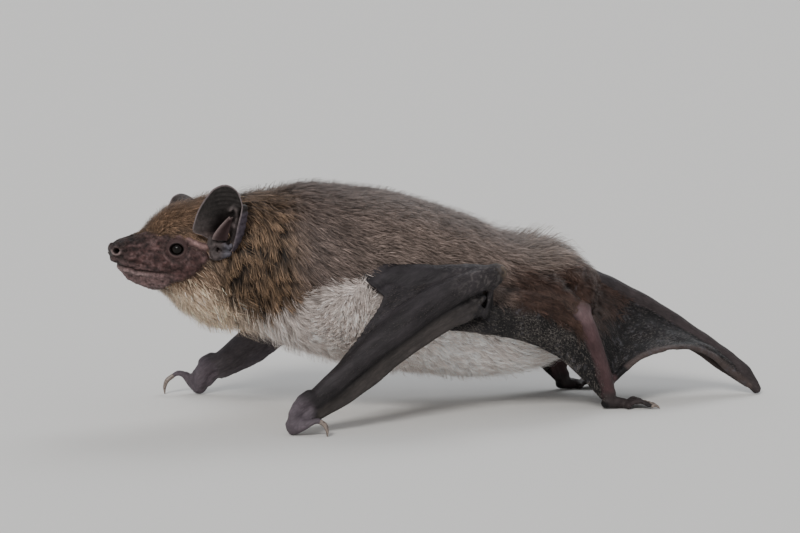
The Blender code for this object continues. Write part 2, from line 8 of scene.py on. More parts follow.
import itertools
import logging
import math
from dataclasses import dataclass, field
from enum import Enum
from typing import Callable, Sequence

import bpy
import numpy as np
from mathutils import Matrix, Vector

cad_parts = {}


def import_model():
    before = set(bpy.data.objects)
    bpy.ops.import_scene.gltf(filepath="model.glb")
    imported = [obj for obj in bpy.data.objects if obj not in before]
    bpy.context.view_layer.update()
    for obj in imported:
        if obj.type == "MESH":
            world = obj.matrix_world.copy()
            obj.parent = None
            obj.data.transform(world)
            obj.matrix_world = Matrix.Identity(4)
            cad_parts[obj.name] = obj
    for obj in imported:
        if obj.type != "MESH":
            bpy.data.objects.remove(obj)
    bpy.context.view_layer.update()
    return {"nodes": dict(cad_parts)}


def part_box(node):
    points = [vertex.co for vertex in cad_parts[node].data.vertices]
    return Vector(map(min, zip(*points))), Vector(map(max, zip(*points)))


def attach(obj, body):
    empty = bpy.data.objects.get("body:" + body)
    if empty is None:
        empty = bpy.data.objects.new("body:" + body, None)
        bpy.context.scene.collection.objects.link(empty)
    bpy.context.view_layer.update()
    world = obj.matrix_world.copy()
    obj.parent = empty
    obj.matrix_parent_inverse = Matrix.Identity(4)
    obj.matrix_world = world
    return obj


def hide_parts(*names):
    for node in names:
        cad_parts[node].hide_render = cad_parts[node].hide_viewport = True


log = logging.getLogger("bat")

Array = np.ndarray
Colour = tuple[float, float, float]
Point = tuple[float, float, float]
Table = tuple[tuple[float, float], ...]
Push = Callable[[Array, Array], Array]
Socket = bpy.types.NodeSocket
MM = 0.001
TURN = 2 * math.pi


class Side(Enum):
    """A side of the bat, valued by the sign of its Y."""

    LEFT = -1
    RIGHT = 1


# Shaping helpers


def through(points: Array | Sequence, shares: Array | Sequence) -> Array:
    """Points of a Catmull-Rom curve through the given ones.

    Args:
        points: the places the curve passes, one per row.
        shares: how far along the curve, from 0 to 1, for each point wanted.

    Returns:
        One row per share.
    """
    p = np.array(points, float)
    p = np.vstack([2 * p[0] - p[1], p, 2 * p[-1] - p[-2]])
    at = np.asarray(shares, float) * (len(p) - 3)
    i = np.clip(at.astype(int), 0, len(p) - 4)
    t = (at - i)[:, None]
    a, b, c, d = p[i], p[i + 1], p[i + 2], p[i + 3]
    return b + t / 2 * (c - a + t * (2 * a - 5 * b + 4 * c - d + t * (3 * (b - c) + d - a)))


def steps(count: int) -> Array:
    """Shares from 0 to 1 in that many even steps."""
    return np.linspace(0, 1, count + 1)


def fade(low: float | Array, high: float | Array, value: Array) -> Array:
    """A smooth step of value from 0 at low to 1 at high, which may lie below low."""
    t = np.clip((value - low) / (high - low), 0, 1)
    return t * t * (3 - 2 * t)


def bell(value: Array, middle: float, width: float) -> Array:
    """A smooth bump of height 1 where value is at the middle."""
    return np.exp(-(((value - middle) / width) ** 2))


def hill(points: Array, centre: Sequence[float], radius: float) -> Array:
    """A smooth hill of height 1 over a place."""
    return bell(np.linalg.norm(points - np.array(centre), axis=-1), 0.0, radius)


def look_up(table: Table, value: Array) -> Array:
    """Reads a table of (value, result) pairs, straight between its rows."""
    return np.interp(value, *zip(*table))


def unit(vectors: Array | Sequence) -> Array:
    """The same directions with length 1."""
    vectors = np.asarray(vectors, float)
    return vectors / np.maximum(np.linalg.norm(vectors, axis=-1, keepdims=True), 1e-12)


def dot(a: Array, b: Array) -> Array:
    """Row by row, how far one vector reaches along another."""
    return (a * b).sum(axis=-1)


def mirrored(p: Array) -> Array:
    """The same places on the bat's +Y side."""
    return p * np.where(p[..., 1:2] < 0, (1, -1, 1), (1, 1, 1))


def chance(cell: Array, seed: int) -> Array:
    """A fixed random value from 0 to 1 for each whole-numbered cell."""
    c = cell.astype(np.int64)
    h = c[..., 0] * 374761393 + c[..., 1] * 668265263 + c[..., 2] * 2147483647 + seed * 974634777
    h = ((h ^ (h >> 13) & 0x7FFFF) & 0xFFFFFFFF) * 1274126177 & 0xFFFFFFFF
    return ((h ^ (h >> 16)) & 0xFFFF) / 65535.0


def noise(points: Array, size: float, seed: int = 0) -> Array:
    """Smooth random values from -1 to 1 over space.

    Args:
        points: places in mm, last axis x, y, z.
        size: rough width of one lump, in mm.
        seed: picks one field of many.

    Returns:
        One value per point.
    """
    p = np.asarray(points, float) / size + 1000.0
    cell = np.floor(p)
    f = p - cell
    u = f * f * (3 - 2 * f)
    total = np.zeros(p.shape[:-1])
    for corner in itertools.product((0, 1), repeat=3):
        share = np.prod(np.where(np.array(corner) == 1, u, 1 - u), axis=-1)
        total += (2 * chance(cell + corner, seed) - 1) * share
    return total


def clumps(points: Array, size: Point, seed: int) -> tuple[Array, Array, Array]:
    """Finds the clump of hair that each place belongs to.

    Args:
        points: places in mm.
        size: rough size of a clump along x, y and z.
        seed: picks one layout of many.

    Returns:
        The way to the clump's middle, how far that is in clump sizes, and a
        fixed value from 0 to 1 for the clump.
    """
    q = points / np.array(size)
    base = np.floor(q)
    best, way, mark = np.full(len(q), 9.0), np.zeros_like(q), np.zeros(len(q))
    for shift in itertools.product((-1, 0, 1), repeat=3):
        cell = base + shift
        spot = np.stack([chance(cell, seed + k) for k in range(3)], axis=-1)
        gap = cell + 0.12 + 0.76 * spot - q
        far = np.linalg.norm(gap, axis=-1)
        near = far < best
        best[near], way[near], mark[near] = far[near], gap[near], spot[near, 0]
    return way * np.array(size), best, mark


def line_distance(points: Array, line: Array | Sequence) -> Array:
    """Distance from each point to a bent line, in mm."""
    line = np.array(line, float)
    best = np.full(points.shape[:-1], 1e9)
    for a, b in zip(line, line[1:]):
        ab = b - a
        t = np.clip(((points - a) @ ab) / (ab @ ab), 0, 1)
        best = np.minimum(best, np.linalg.norm(points - (a + t[..., None] * ab), axis=-1))
    return best


def blend(base: Array, colour: Colour, share: Array) -> Array:
    """Moves colours towards another one by a share for each."""
    return base + (np.array(colour) - base) * np.asarray(share)[..., None]


def even(colour: Sequence[float], points: Array) -> Array:
    """The same colour for every point."""
    return np.broadcast_to(np.array(colour), points.shape)


# Meshes


@dataclass
class Shape:
    """A plain mesh in mm, as points and faces."""

    points: Array
    faces: list[tuple[int, ...]]

    @staticmethod
    def joined(shapes: Sequence["Shape"]) -> "Shape":
        """One shape that holds several, side by side."""
        faces, start = [], 0
        for shape in shapes:
            faces += [tuple(i + start for i in face) for face in shape.faces]
            start += len(shape.points)
        return Shape(np.vstack([shape.points for shape in shapes]), faces)

    def to_mesh(self, name: str) -> bpy.types.Mesh:
        """A Blender mesh with the same points, in the units they are in."""
        mesh = bpy.data.meshes.new(name)
        mesh.from_pydata(self.points.tolist(), [], self.faces)
        mesh.update()
        return mesh


@dataclass
class Painted:
    """A stretch of skin with what its finish needs on each point.

    Attributes:
        shape: its points and faces.
        tint: colour.
        gloss: 0 for dull and 1 for moist.
        grain: how strong its fine creases are.
        lay: the place its fine creases are read at, which stretches them.
    """

    shape: Shape
    tint: Array
    gloss: Array
    grain: Array
    lay: Array


def grid_faces(rows: int, columns: int, closed: bool = False, start: int = 0) -> list[tuple[int, ...]]:
    """Four-sided faces over a grid of points numbered row by row.

    Args:
        rows: how many rows of points.
        columns: how many points in a row.
        closed: whether each row runs round and meets itself.
        start: the number of the first point.

    Returns:
        The faces.
    """
    last = columns if closed else columns - 1
    i, j = np.meshgrid(np.arange(rows - 1), np.arange(last), indexing="ij")
    k = (j + 1) % columns
    corners = (i * columns + j, i * columns + k, (i + 1) * columns + k, (i + 1) * columns + j)
    return [tuple(face) for face in (np.stack(corners, axis=-1).reshape(-1, 4) + start).tolist()]


def rings_along(line: Array, radii: Array, sides: int) -> Array:
    """Circles of points square to a line, as rings by sides by xyz."""
    ahead = unit(np.gradient(line, axis=0))
    side = np.cross((0.0, 0.0, 1.0), ahead[0])
    side = side if np.linalg.norm(side) > 0.1 else np.array((0.0, 1.0, 0.0))
    angles = TURN * np.arange(sides)[:, None] / sides
    rings = []
    for centre, along, radius in zip(line, ahead, radii):
        side = unit(side - along * (side @ along))
        rings.append(centre + radius * (np.cos(angles) * side + np.sin(angles) * np.cross(along, side)))
    return np.array(rings)


def tube(path: Array | Sequence, radii: Sequence[float], rings: int, sides: int = 20) -> Shape:
    """A tapered tube on a smooth path, with domed ends.

    Args:
        path: places on its middle line.
        radii: radii spread evenly along it.
        rings: rings between the two domes.
        sides: points round each ring.

    Returns:
        The closed shape.
    """
    shares = steps(rings)
    line, wide = through(path, shares), np.interp(shares, steps(len(radii) - 1), radii)
    lift = np.array((0.98, 0.87, 0.6, 0.3))
    start, end = unit(line[0] - line[1]), unit(line[-1] - line[-2])
    head, foot = line[0] + start * wide[0] * lift[:, None], line[-1] + end * wide[-1] * lift[::-1, None]
    dome = np.sqrt(1 - lift**2)
    wide = np.concatenate([wide[0] * dome, wide, wide[-1] * dome[::-1]])
    points = rings_along(np.vstack([head, line, foot]), wide, sides)
    count = len(points)
    faces = grid_faces(count, sides, closed=True)
    faces += [tuple(range(sides))[::-1], tuple(range((count - 1) * sides, count * sides))]
    return Shape(points.reshape(-1, 3), faces)


def sheet_normal(grid: Array) -> Array:
    """The direction square to a grid of places, at each of them."""
    return unit(np.cross(np.gradient(grid, axis=0), np.gradient(grid, axis=1)))


def slab(grid: Array, thickness: float | Array) -> Shape:
    """A sheet of some thickness over a grid of places.

    Args:
        grid: places, rows by columns by xyz.
        thickness: thickness in mm, for all or for each place.

    Returns:
        The closed shape.
    """
    push = sheet_normal(grid) * (np.broadcast_to(thickness, grid.shape[:2])[..., None] / 2)
    rows, columns = grid.shape[:2]
    points = np.vstack([(grid + push).reshape(-1, 3), (grid - push).reshape(-1, 3)])
    back = rows * columns
    faces = grid_faces(rows, columns)
    faces += [face[::-1] for face in grid_faces(rows, columns, start=back)]
    rim = [(i, 0) for i in range(rows)] + [(rows - 1, j) for j in range(1, columns)]
    rim += [(i, columns - 1) for i in range(rows - 2, -1, -1)]
    rim += [(0, j) for j in range(columns - 2, 0, -1)]
    numbers = [i * columns + j for i, j in rim]
    faces += [(a, a + back, b + back, b) for a, b in zip(numbers, numbers[1:] + numbers[:1])]
    return Shape(points, faces)


def sheet(rail_a: Array | Sequence, rail_b: Array | Sequence, rows: int, columns: int, push: Push) -> Array:
    """A grid of places stretched between two rails.

    Args:
        rail_a: places along the first rail.
        rail_b: places along the second.
        rows: steps along the rails.
        columns: steps across.
        push: gives the offset in mm from the shares along and across.

    Returns:
        The grid.
    """
    a, b = through(rail_a, steps(rows)), through(rail_b, steps(rows))
    u, v = np.meshgrid(steps(rows), steps(columns), indexing="ij")
    return a[:, None] + (b - a)[:, None] * v[..., None] + push(u, v)


def ripple(height: float, along: float, across: float, way: Array) -> Push:
    """Small folds for a sheet, which push one way and die out at its rails."""
    return lambda u, v: (height * np.sin(u * along + v * across) * np.sin(np.pi * v))[..., None] * way


def spans(grid: Array) -> tuple[Array, Array]:
    """How far along and across a grid each place lies, from 0 to 1."""
    return steps(grid.shape[0] - 1)[:, None], steps(grid.shape[1] - 1)[None]


def smoothed(points: Array, edges: Array, rounds: int) -> Array:
    """Evens a surface out without shrinking it."""
    ends, starts = np.concatenate([edges[:, 0], edges[:, 1]]), np.concatenate([edges[:, 1], edges[:, 0]])
    count = np.bincount(ends, minlength=len(points))[:, None]
    for step in (0.6, -0.62) * rounds:
        mean = np.stack([np.bincount(ends, points[starts, k], len(points)) for k in range(3)], axis=1)
        points = points + step * (mean / count - points)
    return points


def fused(shapes: Sequence[Shape], voxel: float, rounds: int) -> tuple[Shape, Array]:
    """One surface grown over several overlapping closed shapes.

    Args:
        shapes: the closed shapes.
        voxel: size of the cells it is rebuilt from, in mm.
        rounds: rounds of smoothing that keep its thickness.

    Returns:
        The joined surface and its outward direction at each point.
    """
    holder = bpy.data.objects.new("fusing", Shape.joined(shapes).to_mesh("fusing"))
    bpy.context.scene.collection.objects.link(holder)
    remesh = holder.modifiers.new("skin", "REMESH")
    remesh.mode = "VOXEL"
    remesh.voxel_size = voxel
    graph = bpy.context.evaluated_depsgraph_get()
    mesh = bpy.data.meshes.new_from_object(holder.evaluated_get(graph))
    bpy.data.objects.remove(holder)
    points, edges = np.empty(len(mesh.vertices) * 3), np.empty(len(mesh.edges) * 2, int)
    mesh.vertices.foreach_get("co", points)
    mesh.edges.foreach_get("vertices", edges)
    points = smoothed(points.reshape(-1, 3), edges.reshape(-1, 2), rounds)
    mesh.vertices.foreach_set("co", points.ravel())
    mesh.update()
    normal = np.empty(points.size)
    mesh.vertices.foreach_get("normal", normal)
    faces = [tuple(face.vertices) for face in mesh.polygons]
    bpy.data.meshes.remove(mesh)
    return Shape(points, faces), normal.reshape(-1, 3)


# Finishes


class Nodes:
    """A material's node tree, with short ways to add to it."""

    def __init__(self, name: str, **sockets: float) -> None:
        """Starts a Principled material of that name with some sockets set."""
        self.material = bpy.data.materials.new(name)
        self.material.use_nodes = True
        self.tree = self.material.node_tree
        self.shader = self.tree.nodes["Principled BSDF"]
        for key, value in sockets.items():
            self.shader.inputs[key.replace("_", " ")].default_value = value

    def add(self, kind: str, **settings: str) -> bpy.types.Node:
        """Adds a node and sets the given properties on it."""
        node = self.tree.nodes.new(kind)
        for key, value in settings.items():
            setattr(node, key, value)
        return node

    def link(self, source: Socket, target: Socket | str) -> None:
        """Joins an output to an input, or to the shader's input of that name."""
        self.tree.links.new(source, self.shader.inputs[target] if isinstance(target, str) else target)

    def attribute(self, name: str, output: str = "Fac") -> Socket:
        """An output that reads a value kept on the mesh."""
        return self.add("ShaderNodeAttribute", attribute_name=name).outputs[output]

    def place(self) -> Socket:
        """The place on the piece, in metres."""
        return self.add("ShaderNodeTexCoord").outputs["Object"]

    def noise(self, place: Socket, lump: float, detail: float = 2.0) -> Socket:
        """A noise over a place, with lumps of that size."""
        node = self.add("ShaderNodeTexNoise")
        node.inputs["Scale"].default_value = 1 / lump
        node.inputs["Detail"].default_value = detail
        self.link(place, node.inputs["Vector"])
        return node.outputs["Fac"]

    def creases(self, place: Socket, cell: float) -> Socket:
        """The distance to the nearest of a net of shaken creases, up to a limit."""
        shaker = self.add("ShaderNodeTexNoise")
        shaker.inputs["Scale"].default_value = 0.8 / cell
        self.link(place, shaker.inputs["Vector"])
        shake = self.add("ShaderNodeVectorMath", operation="MULTIPLY_ADD")
        self.link(shaker.outputs["Color"], shake.inputs[0])
        shake.inputs[1].default_value = (cell,) * 3
        self.link(place, shake.inputs[2])
        net = self.add("ShaderNodeTexVoronoi", feature="DISTANCE_TO_EDGE")
        net.inputs["Scale"].default_value = 1 / cell
        self.link(shake.outputs["Vector"], net.inputs["Vector"])
        return self.maths("SMOOTH_MIN", net.outputs["Distance"], 0.22, 0.1)

    def maths(self, operation: str, *values: Socket | float) -> Socket:
        """The result of a maths node on sockets and numbers."""
        node = self.add("ShaderNodeMath", operation=operation)
        for slot, value in zip(node.inputs, values):
            if isinstance(value, (int, float)):
                slot.default_value = value
            else:
                self.link(value, slot)
        return node.outputs["Value"]

    def scaled(self, colour: Socket, by: Socket) -> Socket:
        """A colour made lighter or darker by a number."""
        node = self.add("ShaderNodeVectorMath", operation="SCALE")
        self.link(colour, node.inputs[0])
        self.link(by, node.inputs["Scale"])
        return node.outputs["Vector"]

    def ramp(self, value: Socket, low: Colour, high: Colour) -> Socket:
        """A colour that runs from low to high as a value does."""
        node = self.add("ShaderNodeValToRGB")
        low_end, high_end = node.color_ramp.elements
        low_end.position, high_end.position = 0.3, 0.7
        low_end.color, high_end.color = (*low, 1), (*high, 1)
        self.link(value, node.inputs["Fac"])
        return node.outputs["Color"]

    def bump(self, height: Socket, distance: float) -> None:
        """Roughens the shader's surface by a height in metres."""
        node = self.add("ShaderNodeBump")
        node.inputs["Distance"].default_value = distance
        self.link(height, node.inputs["Height"])
        self.link(node.outputs["Normal"], "Normal")


@dataclass(frozen=True)
class Hide:
    """The bare skin: each point's own colour, gloss and grain, under fine noise and painted shade along a net of fine
    creases.
    """

    name: str = "bat_hide"
    mottle: float = 0.6
    pore: float = 0.00013
    lump: float = 0.0006
    crease: float = 0.00026
    bump_height: float = 0.00006

    def build(self) -> bpy.types.Material:
        """Makes the material."""
        nodes = Nodes(self.name, Specular_IOR_Level=0.22)
        lay, grain = nodes.attribute("lay", "Vector"), nodes.attribute("grain")
        broad, fine = nodes.noise(nodes.place(), self.lump, 4), nodes.noise(lay, self.pore, 3)
        shade = nodes.maths("MULTIPLY_ADD", broad, self.mottle, 1 - self.mottle / 2)
        shade = nodes.maths("MULTIPLY", shade, nodes.maths("MULTIPLY_ADD", fine, 0.5, 0.75))
        net = nodes.creases(lay, self.crease)
        # The crease net darkens the colour along its lines as painted shade, and the same net sinks the bump there.
        shade = nodes.maths("MULTIPLY", shade, nodes.maths("MULTIPLY_ADD", net, 0.9, 0.83))
        nodes.link(nodes.scaled(nodes.attribute("tint", "Color"), shade), "Base Color")
        rough = nodes.maths("MULTIPLY_ADD", nodes.attribute("gloss"), -0.42, 0.74)
        nodes.link(nodes.maths("MULTIPLY_ADD", broad, 0.14, rough), "Roughness")
        height = nodes.maths("MULTIPLY", nodes.maths("MULTIPLY_ADD", net, 2.4, fine), grain)
        nodes.bump(nodes.maths("MULTIPLY_ADD", fine, 0.4, height), self.bump_height)
        return nodes.material


@dataclass(frozen=True)
class Fur:
    """Hair: each tuft's own colour, with fine streaks and a soft sheen."""

    name: str = "bat_fur"
    streak: float = 0.00018

    def build(self) -> bpy.types.Material:
        """Makes the material."""
        sockets = {"Roughness": 0.58, "Specular_IOR_Level": 0.25, "Sheen_Weight": 0.08, "Sheen_Roughness": 0.4}
        nodes = Nodes(self.name, **sockets)
        streaks = nodes.noise(nodes.place(), self.streak)
        tone = nodes.maths("MULTIPLY_ADD", streaks, 0.4, 0.8)
        nodes.link(nodes.scaled(nodes.attribute("tint", "Color"), tone), "Base Color")
        return nodes.material


@dataclass(frozen=True)
class Eyeball:
    """A wet black eye with a trace of brown."""

    name: str = "bat_eye"

    def build(self) -> bpy.types.Material:
        """Makes the material."""
        nodes = Nodes(self.name, Roughness=0.1, Specular_IOR_Level=0.2)
        cloud = nodes.noise(nodes.place(), 0.0004)
        nodes.link(nodes.ramp(cloud, (0.0015, 0.001, 0.001), (0.006, 0.004, 0.003)), "Base Color")
        return nodes.material


@dataclass(frozen=True)
class Horn:
    """Claw horn, with fine grain."""

    name: str = "bat_claw"

    def build(self) -> bpy.types.Material:
        """Makes the material."""
        nodes = Nodes(self.name, Roughness=0.36, Specular_IOR_Level=0.45)
        grain = nodes.noise(nodes.place(), 0.00025, 3)
        nodes.link(nodes.ramp(grain, (0.07, 0.055, 0.05), (0.26, 0.21, 0.18)), "Base Color")
        nodes.bump(grain, 0.00001)
        return nodes.material


@dataclass(frozen=True)
class PaleFloor:
    """A plain pale studio floor."""

    name: str = "studio_floor"

    def build(self) -> bpy.types.Material:
        """Makes the material."""
        nodes = Nodes(self.name, Roughness=0.9, Specular_IOR_Level=0.1)
        nodes.shader.inputs["Base Color"].default_value = (0.72, 0.71, 0.69, 1.0)
        return nodes.material


# The body's form


@dataclass
class Bed:
    """A stretch of hide that hair grows on, as a grid.

    Attributes:
        tips: where the hair's tips reach, rows by columns by xyz.
        normal: the outward direction at each.
        depth: how far below the tips the skin lies, in mm.
        closed: whether each row runs round and meets itself.
    """

    tips: Array
    normal: Array
    depth: Array
    closed: bool = True

    def __post_init__(self) -> None:
        """Measures the grid's steps."""
        self.along = np.gradient(self.tips, axis=0)
        turned = (np.roll(self.tips, -1, axis=1) - np.roll(self.tips, 1, axis=1)) / 2
        self.around = turned if self.closed else np.gradient(self.tips, axis=1)

    def read(self, values: Array, i: Array, j: Array) -> Array:
        """Values of a field over the grid, between its rows and columns."""
        rows, columns = values.shape[:2]
        i = np.clip(i, 0, rows - 1.001)
        j = np.mod(j, columns) if self.closed else np.clip(j, 0, columns - 1.001)
        i0, j0 = i.astype(int), j.astype(int) % columns
        fi, fj = i - i0, j - np.floor(j)
        if values.ndim == 3:
            fi, fj = fi[:, None], fj[:, None]
        j1 = (j0 + 1) % columns
        low = values[i0, j0] * (1 - fj) + values[i0, j1] * fj
        high = values[i0 + 1, j0] * (1 - fj) + values[i0 + 1, j1] * fj
        return low * (1 - fi) + high * fi

    def scatter(self, rng: np.random.Generator, count: int, weight: Array) -> tuple[Array, Array]:
        """Random places on the grid, even over its area times a weight.

        Args:
            rng: the source of chance.
            count: how many places.
            weight: how thickly they fall, for each grid point.

        Returns:
            Their rows and columns, with fractions.
        """
        area = np.linalg.norm(np.cross(self.along, self.around), axis=-1) * weight
        total = np.cumsum(area.ravel())
        pick = np.searchsorted(total, rng.uniform(0, total[-1], count))
        i, j = np.divmod(np.minimum(pick, area.size - 1), area.shape[1])
        return i + rng.uniform(-0.5, 0.5, count), j + rng.uniform(-0.5, 0.5, count)


@dataclass
class BodyForm:
    """Trunk and head to the tips of the coat, and the skin below it."""

    sections: tuple[tuple[float, ...], ...] = (
        (-35.3, 20.2, 19.4, 0.4, 0.5, 2.0), (-35.0, 20.75, 18.85, 1.05, 0.53, 2.1),
        (-34.4, 21.2, 18.25, 1.58, 0.52, 2.1), (-33.9, 21.36, 17.5, 1.88, 0.5, 2.1),
        (-33.2, 21.57, 16.55, 2.25, 0.48, 2.1), (-31.6, 22.4, 15.75, 3.00, 0.5, 2.1),
        (-30.3, 23.9, 15.3, 4.00, 0.5, 2.1), (-28.8, 25.0, 14.4, 4.7, 0.52, 2.1),
        (-27.0, 25.7, 12.5, 5.4, 0.52, 2.1),
        (-24.8, 26.2, 11.0, 6.1, 0.5, 2.1), (-22.4, 26.8, 10.2, 6.8, 0.48, 2.1),
        (-19.8, 27.1, 10.0, 7.6, 0.47, 2.1), (-17.0, 27.3, 9.0, 8.6, 0.47, 2.1),
        (-14.0, 27.6, 7.7, 9.6, 0.48, 2.1), (-10.5, 27.7, 6.4, 10.4, 0.5, 2.2),
        (-6.5, 27.3, 5.3, 10.8, 0.5, 2.2), (-2.0, 26.6, 4.5, 10.9, 0.5, 2.2),
        (3.0, 25.3, 3.8, 10.7, 0.5, 2.2), (8.0, 23.6, 3.3, 10.1, 0.5, 2.2),
        (12.5, 21.8, 3.3, 9.00, 0.5, 2.2), (16.5, 20.8, 3.8, 7.7, 0.52, 2.1),
        (19.8, 19.9, 5.0, 6.2, 0.56, 2.1), (22.4, 18.4, 8.0, 4.4, 0.6, 2.0),
        (24.4, 16.7, 11.6, 2.6, 0.6, 2.0), (25.4, 15.6, 13.4, 1.00, 0.5, 2.0),
    )
    columns: int = 256
    coat_on_top: Table = (
        (-33.3, 0.05), (-32.0, 0.25), (-31.2, 0.45), (-29.5, 0.7), (-25.0, 1.1), (-20.0, 1.6), (-14.0, 1.4),
        (0.0, 1.1), (10.0, 1.3), (16.0, 1.9), (22.0, 1.6), (25.4, 0.5),
    )
    coat_below: Table = (
        (-32.5, 0.05), (-30.0, 0.4), (-27.0, 1.0), (-22.0, 1.7), (-10.0, 1.8), (0.0, 1.4),
        (12.0, 1.4), (20.0, 1.1), (25.4, 0.5),
    )
    coat_beside: Table = (
        (-30.0, 0.25), (-27.0, 0.5), (-24.5, 1.1), (-20.0, 1.8), (-14.0, 1.6), (0.0, 1.1),
        (12.0, 1.2), (18.0, 1.2), (22.0, 1.0), (25.4, 0.5),
    )
    bare_over: Table = ((-32.2, 24.0), (-31.4, 22.5), (-30.0, 22.15), (-27.5, 22.0), (-26.0, 21.6), (-24.5, 21.3))
    bare_under: Table = ((-31.5, 13.0), (-30.0, 15.2), (-28.5, 16.0), (-26.4, 17.2), (-25.0, 18.7), (-23.8, 19.8))

    def __post_init__(self) -> None:
        """Lays out the grid of rings and columns."""
        bounds = ((-35.3, -34.7, 24), (-34.7, -26.0, 140), (-26.0, -21.0, 24), (-21.0, 25.4, 62))
        self.xs = np.concatenate([np.linspace(a, b, n)[:-1] for a, b, n in bounds] + [np.array([25.4])])
        x, angle = np.meshgrid(self.xs, TURN * np.arange(self.columns) / self.columns, indexing="ij")
        tips = self.outline(x, angle)
        around, along = np.roll(tips, -1, axis=1) - np.roll(tips, 1, axis=1), np.gradient(tips, axis=0)
        normal = unit(np.cross(around, along))
        normal *= np.sign(dot(normal, tips - tips.mean(axis=1)[:, None]))[..., None]
        self.bare = self.bareness(tips)
        up = np.sin(angle)
        top, below, beside = (look_up(t, x) for t in (self.coat_on_top, self.coat_below, self.coat_beside))
        depth = beside + (top - beside) * np.clip(up, 0, 1) ** 1.5 + (below - beside) * np.clip(-up, 0, 1) ** 1.5
        self.bed = Bed(tips, normal, depth * (1 - self.bare))

    def section(self, x: Array) -> tuple[Array, Array, Array, Array, Array]:
        """The body's top, bottom, half width, level and fullness at some x."""
        table = np.array(self.sections)
        return tuple(through(table, np.interp(x, table[:, 0], steps(len(table) - 1))).T[1:])

    def outline(self, x: Array, angle: Array) -> Array:
        """Places on the outline of the coat at some x and angle round the body."""
        top, bottom, half, level, full = self.section(x.ravel())
        across, up = np.cos(angle.ravel()), np.sin(angle.ravel())
        middle = bottom + level * (top - bottom)
        height = np.where(up > 0, top - middle, middle - bottom)
        y = half * np.sign(across) * np.abs(across) ** (2 / full)
        z = middle + height * np.sign(up) * np.abs(up) ** (2 / full)
        return np.stack([x.ravel(), y, z], axis=-1).reshape(*x.shape, 3)

    def fill(self, p: Array) -> Array:
        """How far out a place lies: 0 on the body's middle line and 1 on its outline."""
        top, bottom, half, level, full = self.section(np.clip(p[:, 0], -35.3, 25.4))
        middle = bottom + level * (top - bottom)
        height = np.where(p[:, 2] > middle, top - middle, middle - bottom)
        share = (np.abs(p[:, 1]) / half) ** full + (np.abs(p[:, 2] - middle) / height) ** full
        return share ** (1 / full)

    def bareness(self, p: Array) -> Array:
        """1 on the bare face, 0 in the coat, smooth between."""
        x, z = p[..., 0], p[..., 2]
        ragged = 0.3 * noise(p, 0.7, 3)
        middle = bell(p[..., 1], 0.0, 1.3)
        upper = look_up(self.bare_over, x + 1.1 * middle) - 0.6 * middle + ragged
        lower = look_up(self.bare_under, x) + ragged
        patch = fade(lower - 0.5, lower + 0.5, z) * fade(upper + 0.25, upper - 0.45, z)
        return patch * fade(-23.6, -25.2, x + ragged)


